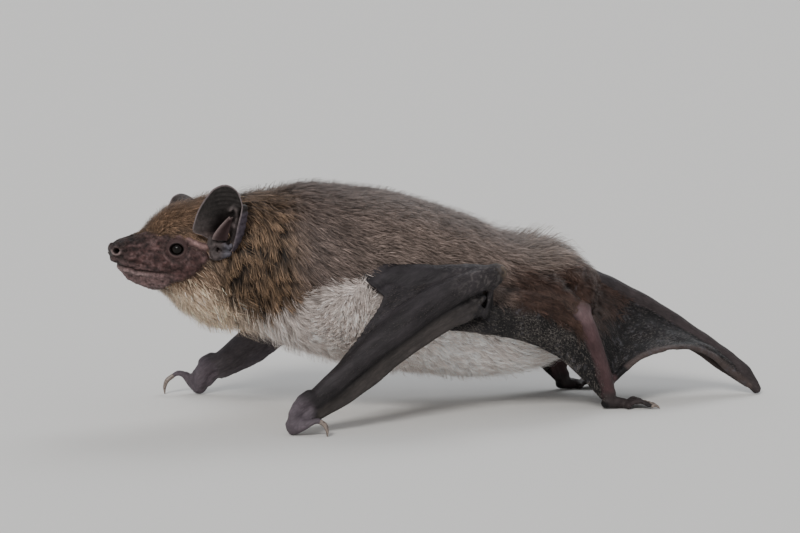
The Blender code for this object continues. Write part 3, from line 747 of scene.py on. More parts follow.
@dataclass
class Face:
    """The bare face's features, each a rise or a dip in the skin."""

    form: BodyForm
    eye_place: Point = (-28.24, 4.89, 20.43)
    eye_sunk: float = 0.74
    nostril: Point = (-34.62, 1.35, 20.08)
    mouth: Table = (
        (-35.4, 18.75), (-34.5, 18.4), (-33.5, 18.12), (-32.6, 17.86), (-31.7, 17.72), (-30.2, 17.58), (-28.7, 17.5),
    )
    brow_fold: Table = ((-29.0, 22.0), (-28.2, 22.05), (-27.4, 21.9), (-26.6, 21.45), (-25.8, 20.9), (-24.6, 20.6))

    def __post_init__(self) -> None:
        """Finds which way the eye looks."""
        tips = self.form.bed.tips
        gap = np.linalg.norm(tips - np.array(self.eye_place), axis=-1)
        self.gaze = self.form.bed.normal[np.unravel_index(gap.argmin(), gap.shape)]
        self.ball = np.array(self.eye_place) - self.gaze * self.eye_sunk

    def eye_distance(self, p: Array) -> Array:
        """How far a place lies from the nearer eye's axis, in mm."""
        gap = mirrored(p) - self.ball
        return np.linalg.norm(gap - dot(gap, self.gaze)[..., None] * self.gaze, axis=-1) + 9 * (gap[..., 1] < -2)

    def nostril_distance(self, p: Array) -> Array:
        """How far a place lies from the nearer nostril, in mm."""
        return np.linalg.norm((mirrored(p) - np.array(self.nostril)) / (1.1, 1.0, 0.9), axis=-1)

    def seen(self, p: Array, line: Table) -> Array:
        """How far a place lies from a line drawn on the side of the face, in mm."""
        return line_distance(p[..., (0, 2)], line)

    def mouth_side(self, p: Array) -> Array:
        """Above 0 over the line of the mouth and below 0 under it."""
        return p[..., 2] - look_up(self.mouth, p[..., 0])

    def rise(self, p: Array) -> Array:
        """How far the skin stands out from the plain form at each place, in mm."""
        near, x, z = mirrored(p), p[..., 0], p[..., 2]
        beside = fade(1.2, 2.6, near[..., 1])
        eye = self.eye_distance(p)
        lift = -0.5 * fade(1.22, 0.9, eye) - 0.07 * bell(eye, 1.38, 0.14)
        lift += (0.07 * bell(eye, 1.62, 0.13) - 0.06 * bell(eye, 1.86, 0.12)) * fade(20.4, 19.5, z)
        lift += 0.07 * bell(eye, 2.15, 0.18) * fade(20.2, 19.4, z) * fade(-29.6, -28.4, x)
        hole = self.nostril_distance(p)
        lift -= 0.85 * fade(0.36, 0.12, hole)
        lift += bell(hole, 0.48, 0.14) * (0.05 + 0.1 * fade(20.3, 19.8, z))
        lift -= 0.3 * hill(near, (-34.25, 1.6, 20.42), 0.2)
        lift -= 0.09 * bell(hole, 0.92, 0.16) * fade(-35.1, -34.5, x)
        lift += 0.24 * hill(near, (-34.9, 0.85, 20.25), 0.6)
        lift -= 0.24 * bell(p[..., 1], 0.0, 0.25) * fade(-33.6, -34.6, x) * fade(18.9, 19.6, z)
        reach, side = fade(-28.4, -29.6, x), self.mouth_side(p)
        lift -= 0.3 * bell(self.seen(p, self.mouth), 0.0, 0.1) * reach
        lift += (0.12 * bell(side, 0.36, 0.22) + 0.13 * bell(side, -0.38, 0.24)) * reach
        lift -= 0.07 * bell(side, 0.85, 0.16) * reach * beside
        lift -= 0.06 * bell(side, -0.86, 0.16) * reach * beside
        lift += 0.4 * hill(near, (-32.4, 2.4, 20.1), 1.15) + 0.16 * hill(near, (-30.6, 3.5, 18.8), 0.9)
        lift += 0.22 * hill(near, (-27.0, 5.0, 18.3), 1.2) - 0.16 * hill(near, (-30.5, 3.4, 20.9), 0.7)
        lift -= 0.16 * hill(near, (-33.7, 1.6, 20.9), 0.5)
        lift += 0.3 * bell(self.seen(p, self.brow_fold), 0.0, 0.3) * beside
        lift -= 0.16 * bell(self.seen(p, ((-27.2, 20.9), (-26.4, 20.4), (-24.8, 19.9))), 0.0, 0.16) * beside
        for k in range(5):
            fall = 19.15 - 0.42 * k
            line = ((-30.2 + 0.2 * k, fall), (-28.6, fall - 0.35), (-27.0, fall - 0.15), (-25.9, fall + 0.35))
            lift -= 0.085 * bell(self.seen(p, line), 0.0, 0.1) * beside
        return lift + self.rough(p) * fade(-23.5, -25.5, x)

    @staticmethod
    def rough(p: Array) -> Array:
        """The hide's own small lumps and folds, in mm."""
        return 0.05 * noise(p, 0.33, 5) + 0.04 * noise(p, 0.17, 6) + 0.07 * noise(p * (1, 1, 2.6), 0.55, 7)

    def lids(self, side: Side) -> Painted:
        """The two lids of one eye, as one ring of skin that hugs the ball."""
        profile = np.array(
            (
                (0.62, 0.45), (0.665, 0.62), (0.7, 0.74), (0.745, 0.83), (0.8, 0.87), (0.87, 0.86), (0.95, 0.8),
                (1.02, 0.73), (1.1, 0.7), (1.18, 0.66), (1.27, 0.57), (1.38, 0.38),
            )
        )
        turn, row = np.meshgrid(TURN * np.arange(96) / 96, steps(30), indexing="ij")
        far, high = (x.reshape(turn.shape) for x in through(profile, row.ravel()).T)
        gaze, ball = self.gaze, self.ball
        front = unit(np.cross(gaze, (0.0, 0.0, 1.0)))
        front = front * -np.sign(front[0])
        above = np.cross(gaze, front)
        above = above * np.sign(above[2])
        run, lift = np.cos(turn), np.sin(turn)
        inner = fade(1.0, 0.7, far)
        stretch = 1 + inner * (0.13 * np.abs(run) ** 3 - 0.06 * (lift > 0) * lift - 0.02)
        high = high + 0.04 * bell(lift, 0.9, 0.5) * bell(far, 0.85, 0.2)
        spot = ball + (far * stretch)[..., None] * (run[..., None] * front + lift[..., None] * above * 0.95)
        spot = spot + high[..., None] * gaze
        points = spot.reshape(-1, 3)
        points = points + (0.018 * noise(points, 0.14, 8))[:, None] * gaze
        points = points * (1, side.value, 1)
        faces = [(a, b, c, d) for d, c, b, a in grid_faces(97, 31)]
        faces = [tuple(i % len(points) for i in face) for face in faces]
        ring = far.ravel()
        tint = even((0.045, 0.025, 0.024), points)
        # A paler band on the lid margin, strongest on the lower lid, is a painted highlight.
        low = fade(0.3, -0.5, np.repeat(np.sin(TURN * np.arange(96) / 96), 31))
        tint = blend(tint, (0.13, 0.085, 0.08), bell(ring, 0.93, 0.1) * (0.12 + 0.5 * low))
        tint = blend(tint, (0.01, 0.006, 0.006), fade(0.86, 0.76, ring))
        return Painted(Shape(points, faces), tint, np.full(len(ring), 0.6), np.full(len(ring), 0.15), points)


@dataclass
class Markings:
    """The colours of skin and coat, as one rule over the body."""

    back: Colour = (0.14, 0.104, 0.09)
    saddle: Colour = (0.205, 0.155, 0.132)
    forehead: Colour = (0.172, 0.104, 0.064)
    mane: Colour = (0.15, 0.101, 0.07)
    rump: Colour = (0.26, 0.205, 0.175)
    thigh: Colour = (0.07, 0.04, 0.03)
    throat: Colour = (0.64, 0.49, 0.36)
    chest: Colour = (0.64, 0.56, 0.52)
    belly: Colour = (0.8, 0.72, 0.68)
    face: Colour = (0.05, 0.025, 0.0235)
    lip: Colour = (0.14, 0.088, 0.086)
    pink: Colour = (0.26, 0.16, 0.15)
    nose: Colour = (0.018, 0.012, 0.011)
    wing: Colour = (0.024, 0.0205, 0.023)
    web: Colour = (0.0075, 0.0066, 0.007)
    arm: Colour = (0.023, 0.0195, 0.021)
    wrist: Colour = (0.095, 0.077, 0.09)
    shin: Colour = (0.062, 0.034, 0.036)
    tail: Colour = (0.046, 0.036, 0.037)
    edge: tuple[tuple[float, float], ...] = (
        (-32.0, 14.0), (-30.5, 14.6), (-29.0, 15.4), (-27.0, 16.3), (-25.5, 16.4), (-24.4, 15.7), (-23.2, 14.7),
        (-21.9, 13.6), (-19.7, 12.4), (-17.75, 13.1), (-16.0, 14.2), (-14.7, 15.5), (-13.2, 16.7), (-11.1, 17.4),
        (-7.7, 17.2), (-4.2, 15.8), (0.0, 13.6), (6.0, 11.3), (12.0, 9.0), (17.0, 6.6), (21.0, 5.6), (25.0, 5.0),
    )

    def coat(self, p: Array) -> Array:
        """The coat's middle colour at places on the body."""
        x, z = p[..., 0], p[..., 2]
        wander = 0.8 * noise(p, 2.2, 11) + 0.5 * noise(p, 0.8, 12)
        tint = even(self.back, p)
        tint = blend(tint, self.saddle, fade(-16.0, 2.0, x + wander))
        tint = blend(tint, self.forehead, fade(-21.0, -26.0, x + wander))
        neck = fade(-27.0, -23.0, x + wander) * fade(-13.5, -18.0, x + 1.5 * wander)
        tint = blend(tint, self.mane, neck * (0.45 + 0.55 * fade(27.0, 24.0, z + wander)))
        tint = blend(tint, self.rump, fade(11.0, 16.5, x + wander) * fade(16.5, 19.5, z + wander))
        tint = blend(tint, self.thigh, fade(7.0, 12.0, x + wander) * fade(19.0, 16.5, z + wander))
        line = look_up(self.edge, x) + 0.5 * wander
        soft = look_up(((-28.0, 0.5), (-24.5, 1.7), (-20.0, 0.9), (-14.0, 0.5), (0.0, 0.8)), x)
        pale = fade(line + soft, line - soft, z)
        under = blend(even(self.chest, p), self.throat, fade(-17.0, -23.0, x))
        # Under parts are lightened towards the bottom as painted light, against the shade under the chest.
        under = blend(under, self.belly, fade(-6.0, 6.0, x)) * (1 + 0.42 * fade(14.5, 9.5, z))[..., None]
        shade = 1 + 0.13 * noise(p, 1.4, 13) + 0.09 * noise(p, 4.5, 14)
        return (tint + (under - tint) * pale[..., None]) * shade[..., None]

    def face_skin(self, p: Array, face: Face) -> Array:
        """The bare face's colour, with painted highlights and glints, and painted shade in its creases, mouth line and
        nostrils.
        """
        x, z, side = p[..., 0], p[..., 2], face.mouth_side(p)
        beside = fade(1.5, 2.8, np.abs(p[..., 1]))
        tint = even(self.face, p)
        bridge = fade(20.6, 21.3, z) * fade(-30.0, -32.0, x)
        tint = blend(tint, self.nose, np.maximum(bridge, fade(-33.0, -34.2, x)) * 0.75)
        # High patches are painted glints, lighter and pinker; low patches are darkened as painted crease shade.
        patches = noise(p * (1, 1, 1.7), 0.7, 23) + 0.6 * noise(p * (1, 1, 1.3), 0.32, 24)
        painted_glint = fade(0.05, 0.6, patches)
        tint = blend(tint, self.lip, 0.45 * painted_glint * fade(-34.4, -32.6, x))
        tint = tint * (1 - 0.35 * fade(0.0, -0.6, patches))[..., None]
        tint = blend(tint, self.lip, 0.85 * fade(0.2, -0.3, side) * fade(-27.0, -30.5, x))
        # A paler band on the lower lip's bulge is a painted highlight.
        tint = blend(tint, (0.2, 0.145, 0.14), 0.6 * bell(side, -0.35, 0.22) * fade(-30.0, -32.0, x))
        tint = blend(tint, self.lip, 0.35 * bell(side, 0.45, 0.3) * fade(-29.0, -32.0, x))
        eye = face.eye_distance(p)
        ring = 0.35 + 0.65 * fade(20.6, 19.6, z + 0.5 * noise(p, 0.6, 25))
        # The pale ring round the eye is lightened further where the painted glints lie.
        tint = blend(tint, (0.16, 0.105, 0.1), 0.6 * bell(eye, 1.62, 0.16) * ring * (0.5 + 0.5 * painted_glint))
        tint = blend(tint, (0.018, 0.01, 0.01), 0.7 * bell(eye, 1.38, 0.18))
        tint = blend(tint, (0.02, 0.012, 0.012), fade(1.2, 1.0, eye))
        fold = face.seen(p, face.brow_fold)
        tint = blend(tint, self.pink, 0.9 * bell(fold, 0.0, 0.36) * fade(-28.8, -26.2, x) * beside)
        brow = 0.5 * fade(0.7, 1.3, z - 20.6) * fade(-27.5, -29.0, x) * fade(0.3, 0.7, fold)
        tint = blend(tint, (0.04, 0.024, 0.02), brow)
        hole = face.nostril_distance(p)
        # The pale ring round the nostril, brightest below, is a painted highlight on its rim.
        tint = blend(tint, (0.2, 0.145, 0.14), 0.85 * bell(hole, 0.48, 0.13) * (0.15 + 0.85 * fade(20.35, 19.9, z)))
        # The nostril opening is painted near black, as painted shade in the hole.
        tint = blend(tint, (0.005, 0.003, 0.003), fade(0.38, 0.24, hole))
        # The mouth line is darkened as painted shade in its groove.
        painted_mouth_shade = 0.75 * bell(face.seen(p, face.mouth), 0.0, 0.11) * fade(-28.4, -29.6, x)
        tint = blend(tint, (0.022, 0.012, 0.012), painted_mouth_shade)
        # Besides random mottle, the hide's own lumps make the colour lighter on their tops and darker in their dips, as
        # painted light and shade.
        mottle = 1 + 0.3 * noise(p, 0.9, 21) + 0.4 * noise(p, 0.2, 22) + 6.0 * face.rough(p)
        return tint * np.clip(mottle, 0.25, 2.4)[..., None]


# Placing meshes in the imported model's frame


@dataclass
class Bench:
    """Moves finished shapes from the bat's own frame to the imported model's."""

    nodes: list[str]
    nose_tip: float = -35.6
    finishes: dict[str, bpy.types.Material] = field(default_factory=dict)

    def __post_init__(self) -> None:
        """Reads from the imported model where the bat's own origin lies."""
        head, chest = (np.array(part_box(name)) / MM for name in ("head", "chest"))
        self.shift = np.array((head[0, 0] - self.nose_tip, chest[:, 1].mean(), 0.0))
        for finish in (Hide(), Fur(), Eyeball(), Horn(), PaleFloor()):
            self.finishes[finish.name] = finish.build()

    def place(self, points: Array) -> Array:
        """Turns mm in the bat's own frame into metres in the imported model's."""
        return (points + self.shift) * MM

    def piece(self, name: str, shape: Shape, finish: str, slot: str, replaces: Sequence[str] = ()) -> bpy.types.Object:
        """Makes a shape into a named piece that rides with the bat.

        Args:
            name: the piece's name.
            shape: its points and faces, in mm.
            finish: name of its material.
            slot: not used.
            replaces: CAD nodes it stands in for.

        Returns:
            The new object.
        """
        mesh = Shape(self.place(shape.points), shape.faces).to_mesh(name)
        mesh.shade_smooth()
        return self.dress(name, mesh, finish, replaces)

    def dress(
        self, name: str, mesh: bpy.types.Mesh, finish: str, replaces: Sequence[str] = ()
    ) -> bpy.types.Object:
        """Links a finished mesh as a piece, with its material and body."""
        mesh.materials.append(self.finishes[finish])
        piece = bpy.data.objects.new(name, mesh)
        bpy.context.scene.collection.objects.link(piece)
        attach(piece, "root")
        if replaces:
            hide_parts(*replaces)
        triangles = len(mesh.loops) - 2 * len(mesh.polygons)
        log.info("%s: %d points, %d triangles", name, len(mesh.vertices), triangles)
        return piece


def keep(mesh: bpy.types.Mesh, name: str, kind: str, values: Array) -> None:
    """Keeps a value on each point of a mesh, for its finish to read."""
    key = {"FLOAT": "value", "FLOAT_VECTOR": "vector", "FLOAT_COLOR": "color"}[kind]
    if kind == "FLOAT_COLOR":
        values = np.concatenate([np.clip(values, 0.002, 1.0), np.ones((*values.shape[:-1], 1))], axis=-1)
    layer = mesh.attributes.new(name, kind, "POINT")
    layer.data.foreach_set(key, np.asarray(values, np.float32).ravel())


# Limbs, wings, tail and ears


@dataclass
class Wing:
    """One folded wing, carried on its wrist."""

    side: Side
    shoulder: Point = (-9.5, -6.4, 16.6)
    forearm: tuple[Point, ...] = (
        (7.4, -13.2, 17.2), (2.2, -13.8, 15.5), (-2.6, -14.5, 12.9), (-8.4, -15.4, 8.8), (-14.8, -16.3, 3.8),
    )
    forearm_radii: tuple[float, ...] = (1.38, 1.68, 1.8, 1.5, 1.15)
    finger_fall: tuple[tuple[float, ...], ...] = ((2.2, 3.0, 3.85), (1.45, 2.05, 2.65))
    skin: float = 0.36

    def at(self, point: Sequence[float]) -> Array:
        """A place on this wing from the matching one on the left wing."""
        x, y, z = point
        return np.array((x, y, z) if self.side is Side.LEFT else (x - 4.1, 0.5 - y, z), float)

    @property
    def outward(self) -> Array:
        """The direction away from the body."""
        return np.array((0.0, float(self.side.value), 0.0))

    @property
    def wrist(self) -> Array:
        """The end of the forearm."""
        return self.at(self.forearm[-1])

    def forearm_line(self) -> list[Array]:
        """The middle line of the forearm."""
        return [self.at(p) for p in self.forearm]

    def frame(self, share: float) -> tuple[Array, Array, Array]:
        """The forearm's middle line at a share from elbow to wrist.

        Args:
            share: 0 at the elbow and 1 at the wrist.

        Returns:
            The place, the direction along the arm and the direction below it.
        """
        line = self.forearm_line()
        here, ahead, behind = through(line, [share, min(share + 0.03, 1.0), max(share - 0.03, 0.0)])
        along = unit(ahead - behind)
        below = np.cross(along, self.outward)
        return here, along, unit(below * -math.copysign(1, below[2]))

    def hand(self, share: float, fall: float, out: float) -> Array:
        """A place on the folded hand.

        Args:
            share: 0 at the elbow and 1 at the wrist, or more to run on into it.
            fall: 0, 1 or 2 for the third, fourth or fifth finger.
            out: how far out from the hand's middle plane, in mm.

        Returns:
            The place.
        """
        here, along, below = self.frame(min(share, 1.0))
        at_elbow, at_wrist = (np.interp(fall, (0, 1, 2), row) for row in self.finger_fall)
        drop = at_elbow + (at_wrist - at_elbow) * share + min(fall, 0.0) + max(fall - 2.0, 0.0)
        close = float(fade(0.85, 1.04, np.array(share)))
        drop = drop * (1 - 0.36 * close)
        run_on = max(share - 0.98, 0.0) * (22.0 - 6.0 * fall)
        return here + below * drop + along * run_on + self.outward * out

    def finger_line(self, index: int) -> list[Array]:
        """The middle line of one folded finger, out to the knuckle and back."""
        knuckle, tip = 0.12 + 0.04 * index, 0.58 - 0.08 * index
        outbound = [(1.04, 0.3), (0.86, 0.42), (0.66, 0.48), (0.4, 0.48), (knuckle, 0.35)]
        inbound = [(knuckle - 0.02, -0.6), (knuckle + 0.1, -1.25), (tip, -1.2)]
        return [self.hand(share, index, out) for share, out in outbound + inbound]

    def thumb_lines(self) -> tuple[list[Array], list[Array]]:
        """The middle lines of the thumb and of its claw."""
        if self.side is Side.LEFT:
            bend = [(-2.0, -0.6, -2.7), (-1.2, -1.4, -2.35), (-0.35, -1.8, -2.0), (0.3, -1.95, -2.1)]
            hook = [(0.2, -1.95, -2.08), (0.7, -2.05, -2.45), (0.95, -2.1, -3.05), (0.98, -2.1, -3.7)]
        else:
            bend = [(-2.8, 0.6, -2.6), (-3.8, 0.9, -1.6), (-4.8, 1.0, -1.2), (-5.6, 1.1, -1.6)]
            hook = [(-5.5, 1.1, -1.55), (-6.2, 1.15, -2.1), (-6.5, 1.2, -2.9), (-6.5, 1.2, -3.7)]
        return [self.wrist + np.array(p) for p in bend], [self.wrist + np.array(p) for p in hook]

    def pad_line(self) -> list[Array]:
        """The middle line of the pad the bat stands on, from the wrist down."""
        return [self.wrist + np.array(p) for p in ((-0.75, 0, 0.1), (-1.9, 0, -0.9), (-2.35, 0, -2.75))]

    def bones(self) -> list[Shape]:
        """Arm, wrist, thumb and fingers as plump tubes."""
        line = self.forearm_line()
        elbow, shoulder, out, wrist = line[0], self.at(self.shoulder), self.outward, self.wrist
        middle = (shoulder + elbow) / 2 + out * 1.6
        thumb, _ = self.thumb_lines()
        shapes = [
            tube(line, self.forearm_radii, 40, 28),
            tube([elbow + (0.5, 0, 0.25), elbow + (-0.4, 0, -0.4)], (1.15, 1.35), 4, 24),
            tube([shoulder, middle, elbow], (2.3, 1.6, 1.3), 24, 24),
            tube(self.pad_line(), (1.0, 0.92, 1.0), 12, 24),
            tube([wrist + out * 0.35 + (-0.6, 0, 0.5), wrist + out * 0.45 + (-1.5, 0, 0.1)], (0.9, 0.85), 4, 18),
            tube([wrist + out * 0.4 + (-2.4, 0, -1.3), wrist + out * 0.45 + (-2.5, 0, -2.2)], (0.72, 0.8), 4, 18),
            tube([wrist + out * 0.2 + (-1.3, 0, -2.1), wrist + out * 0.3 + (-0.3, 0, -1.3)], (0.85, 0.72), 6, 18),
            tube(thumb, (0.78, 0.6, 0.42, 0.38, 0.3), 20, 16),
        ]
        for index in range(3):
            radii = (0.4, 0.34, 0.35, 0.36, 0.44, 0.32, 0.28, 0.24)
            shapes.append(tube(self.finger_line(index), radii, 70, 14))
        return shapes

    def front_grid(self) -> Array:
        """The small skin in front of the arm, from body to forearm."""
        edge = [(-7.8, -9.5, 17.5), (-5.4, -12.4, 15.9), (-7.7, -14.0, 12.3), (-11.2, -15.4, 8.6), (-14.6, -16.2, 5.0)]
        arm = [here - below * 0.7 for here, _, below in map(self.frame, (0.03, 0.25, 0.5, 0.72, 0.96))]
        return sheet([self.at(p) for p in edge], arm, 60, 30, ripple(0.13, 5, 9, self.outward))

    def upper_grid(self) -> Array:
        """The skin between the upper arm and the forearm."""
        top = [(7.6, -13.0, 17.6), (2.5, -12.9, 17.5), (-2.5, -12.3, 17.5), (-8.0, -9.5, 17.6)]
        low = [(7.6, -13.4, 16.6), (2.4, -14.0, 14.9), (-1.4, -14.2, 13.2), (-5.6, -13.0, 15.2)]
        folds = ripple(0.14, 17, 3, self.outward)
        return sheet([self.at(p) for p in top], [self.at(p) for p in low], 50, 20, folds)

    def elbow_grid(self) -> Array:
        """The skin over most of the corner between flank, elbow and folded hand."""
        top = [(8.4, -9.3, 15.9), (8.0, -11.4, 16.5), (7.5, -13.0, 16.9)]
        low = [(8.4, -9.9, 14.2), (7.5, -11.7, 12.4), (6.2, -13.4, 11.9)]
        folds = ripple(0.12, 11, 5, np.array((1.0, 0.0, 0.0)))
        return sheet([self.at(p) for p in top], [self.at(p) for p in low], 30, 20, folds)

    def rear_grid(self) -> Array:
        """The slack skin between the folded hand, the flank and the leg."""
        mirror = np.array((1.0, -self.side.value, 1.0))
        body = [(0.5, -10.6, 15.8), (8.0, -9.7, 15.3), (14.8, -8.9, 13.9), (19.2, -9.1, 11.2), (21.3, -8.9, 7.8)]
        hem = [(2.2, -13.2, 10.9), (7.5, -12.7, 10.1), (12.2, -11.6, 8.9), (16.4, -10.5, 6.9), (20.0, -9.5, 3.9)]
        body, hem = [*body, (22.7, -8.6, 4.6), (23.5, -8.4, 2.6)], [*hem, (21.8, -9.0, 2.1), (23.0, -8.6, 1.0)]

        def slack(u: Array, v: Array) -> Array:
            """Folds that fan out from the ankle, with a soft belly between."""
            edge = np.sin(np.pi * v)
            folds = 2.2 * v * (1 - v) * np.sin(np.pi * np.clip(u * 1.1, 0, 1)) ** 0.6
            folds = folds + 0.15 * np.sin(v * 15 + u * 4) * edge + 0.07 * np.sin(u * 34 + v * 6) * edge
            return folds[..., None] * self.outward

        return sheet(np.array(body) * mirror, np.array(hem) * mirror, 80, 34, slack)

    def skins(self) -> list[Shape]:
        """The skin of the folded hand, and those before, above and behind the arm."""
        falls = -0.25 + 2.6 * steps(36)
        waves = -0.25 - 0.16 * np.cos(falls * TURN)
        grid = [[self.hand(s, f, out) for f, out in zip(falls, waves)] for s in 0.1 + 0.94 * steps(64)]
        rear = self.rear_grid()
        rim = 0.34 + 0.16 * fade(0.93, 1.0, spans(rear)[1]) * np.ones((rear.shape[0], 1))
        skins = [slab(g, self.skin) for g in (self.front_grid(), self.upper_grid(), self.elbow_grid())]
        return [slab(np.array(grid), 0.42), *skins, slab(rear, rim)]

    def bundle(self) -> tuple[Array, Array, Array]:
        """Directions along the arm, below it and outwards, taken as one for all of it."""
        return self.frame(0.5)[1], self.frame(0.5)[2], self.outward


@dataclass
class HindLimb:
    """One back leg, with the foot flat on the floor."""

    side: Side
    hip: Point = (14.0, 4.5, 14.2)
    knee: Point = (19.9, 8.9, 11.8)
    ankle: Point = (24.0, 8.3, 1.7)

    def at(self, *points: Sequence[float]) -> Array:
        """Places on this side from ones given with Y outwards."""
        placed = np.array(points, float) * (1.0, self.side.value, 1.0)
        return placed if len(points) > 1 else placed[0]

    def shin_line(self) -> Array:
        """The middle line of the shin, slightly bowed."""
        (kx, ky, kz), (ax, ay, az) = self.knee, self.ankle
        middle = [(kx + (ax - kx) * s + 0.2, ky + (ay - ky) * s + 0.25, kz + (az - kz) * s) for s in (0.3, 0.7)]
        return self.at(self.knee, *middle, self.ankle)

    def toe_lines(self) -> list[Array]:
        """The middle lines of the five toes, each arched over its joint."""
        ax, ay, az = self.ankle
        lines = []
        for toe in range(5):
            spread, reach = (toe - 2) * 0.62, 1.0 - 0.05 * abs(toe - 2)
            run = ((-0.4, 0.45, 0.0), (0.5, 0.7, 0.22), (1.3, 0.95, 0.38), (2.1, 1.2, 0.02), (2.9, 1.4, -0.22))
            lines.append(self.at(*((ax + 2.2 + x * reach, ay + 0.2 + spread * w, az - 1.12 + z) for x, w, z in run)))
        return lines

    def claw_lines(self) -> list[Array]:
        """The middle lines of the five hooked claws."""
        bend = np.array(((-0.2, 0, 0.04), (0.25, 0, 0.1), (0.6, 0, -0.05), (0.78, 0, -0.36)))
        return [line[-1] + bend for line in self.toe_lines()]

    def thigh_line(self) -> Array:
        """The middle line of the thigh."""
        (hx, hy, hz), (kx, ky, kz) = self.hip, self.knee
        return self.at(self.hip, ((hx + kx) / 2, (hy + ky) / 2, (hz + kz) / 2 + 0.4), self.knee)

    def haunch_line(self) -> Array:
        """The middle line of the flesh that fills the corner between knee and rump."""
        return self.at((20.3, 8.2, 12.3), (20.9, 6.4, 14.0), (21.0, 4.4, 15.4))

    def shapes(self) -> list[Shape]:
        """Thigh, shin, foot and toes as plump tubes."""
        ax, ay, _ = self.ankle
        knee, ankle = self.at(self.knee, self.ankle)
        sole, ball = ((ax - 0.5, ay, 0.72), (ax + 0.8, ay, 0.72), (ax + 2.2, ay + 0.2, 0.55)), ax + 1.9
        shapes = [
            tube(self.thigh_line(), (2.3, 2.0, 1.25), 20, 24),
            tube(self.haunch_line(), (1.0, 1.5, 1.8), 12, 24),
            tube(self.shin_line(), (1.22, 0.98, 0.8, 0.66), 40, 24),
            tube([knee + (0.1, 0, 0.35), knee + (-0.35, 0, -0.3)], (1.22, 1.18), 6, 22),
            tube([ankle + (-0.05, 0, 0.2), ankle + (-0.05, 0, -0.4)], (0.72, 0.7), 6, 20),
            tube(self.at(*sole), (0.68, 0.72, 0.55), 12, 20),
            tube(self.at((ball, ay - 0.75, 0.45), (ball, ay + 1.15, 0.45)), (0.42, 0.42), 8, 16),
        ]
        for line in self.toe_lines():
            shapes.append(tube(line, (0.34, 0.27, 0.35, 0.25, 0.3, 0.18), 24, 14))
        return shapes


@dataclass
class Tail:
    """The tail and the two halves of the skin it carries."""

    line: tuple[Point, ...] = (
        (22.8, 0.0, 15.6), (28.0, 0.0, 13.5), (33.0, -0.2, 10.9), (38.0, -0.5, 7.6),
        (41.6, -1.0, 5.0), (44.25, -1.6, 2.75), (45.65, -2.2, 0.66),
    )
    radii: tuple[float, ...] = (1.3, 1.0, 0.88, 0.86, 0.9, 0.9, 0.62)
    edge: tuple[Point, ...] = (
        (20.6, 8.8, 11.2), (22.4, 8.5, 7.2), (23.9, 8.3, 3.2), (25.9, 7.9, 4.6), (28.4, 7.2, 6.0), (31.9, 6.1, 6.7),
        (35.7, 4.4, 6.5), (39.0, 2.8, 5.3), (41.6, 1.6, 3.4), (43.4, 0.9, 2.1), (44.7, 0.4, 1.1),
    )

    def rail(self, side: Side) -> Array:
        """The outer rail of one half of the tail skin."""
        edge = np.array(self.edge)
        edge[:, 1] = edge[:, 1] * side.value + np.interp(edge[:, 0], *zip(*(p[:2] for p in self.line)))
        return edge

    def grid(self, side: Side) -> Array:
        """One half of the tail skin, from the tail out to its free edge."""

        def slack(u: Array, v: Array) -> Array:
            """A slack belly, with small folds that run down from the tail."""
            edge = np.sin(np.pi * v)
            lift = 1.3 * v * (1 - v) * fade(1.0, 0.7, u) + 0.1 * np.sin(u * 40 + v * 4) * edge
            lift = lift + 0.08 * np.sin(v * 14 - u * 9) * edge
            return lift[..., None] * np.array((0.0, side.value, 0.4))

        return sheet(through(self.line, 0.02 + 0.93 * steps(10)), self.rail(side), 120, 40, slack)

    def shapes(self) -> list[Shape]:
        """The tail, the spurs and the skin between tail and legs."""
        knobs = [r * (1 + 0.05 * math.cos(k * 1.9)) for k, r in enumerate(np.interp(steps(24), steps(6), self.radii))]
        shapes = [tube(self.line, knobs, 90, 20)]
        for side in Side:
            grid, rail = self.grid(side), self.rail(side)
            shapes.append(slab(grid, 0.34 + 0.2 * fade(0.94, 1.0, spans(grid)[1]) * np.ones((grid.shape[0], 1))))
            shapes.append(tube(rail[2:6], (0.42, 0.38, 0.3, 0.26), 24, 14))
            shapes.append(tube(rail[5:], (0.22, 0.27, 0.34, 0.42, 0.42, 0.36), 30, 14))
        return shapes


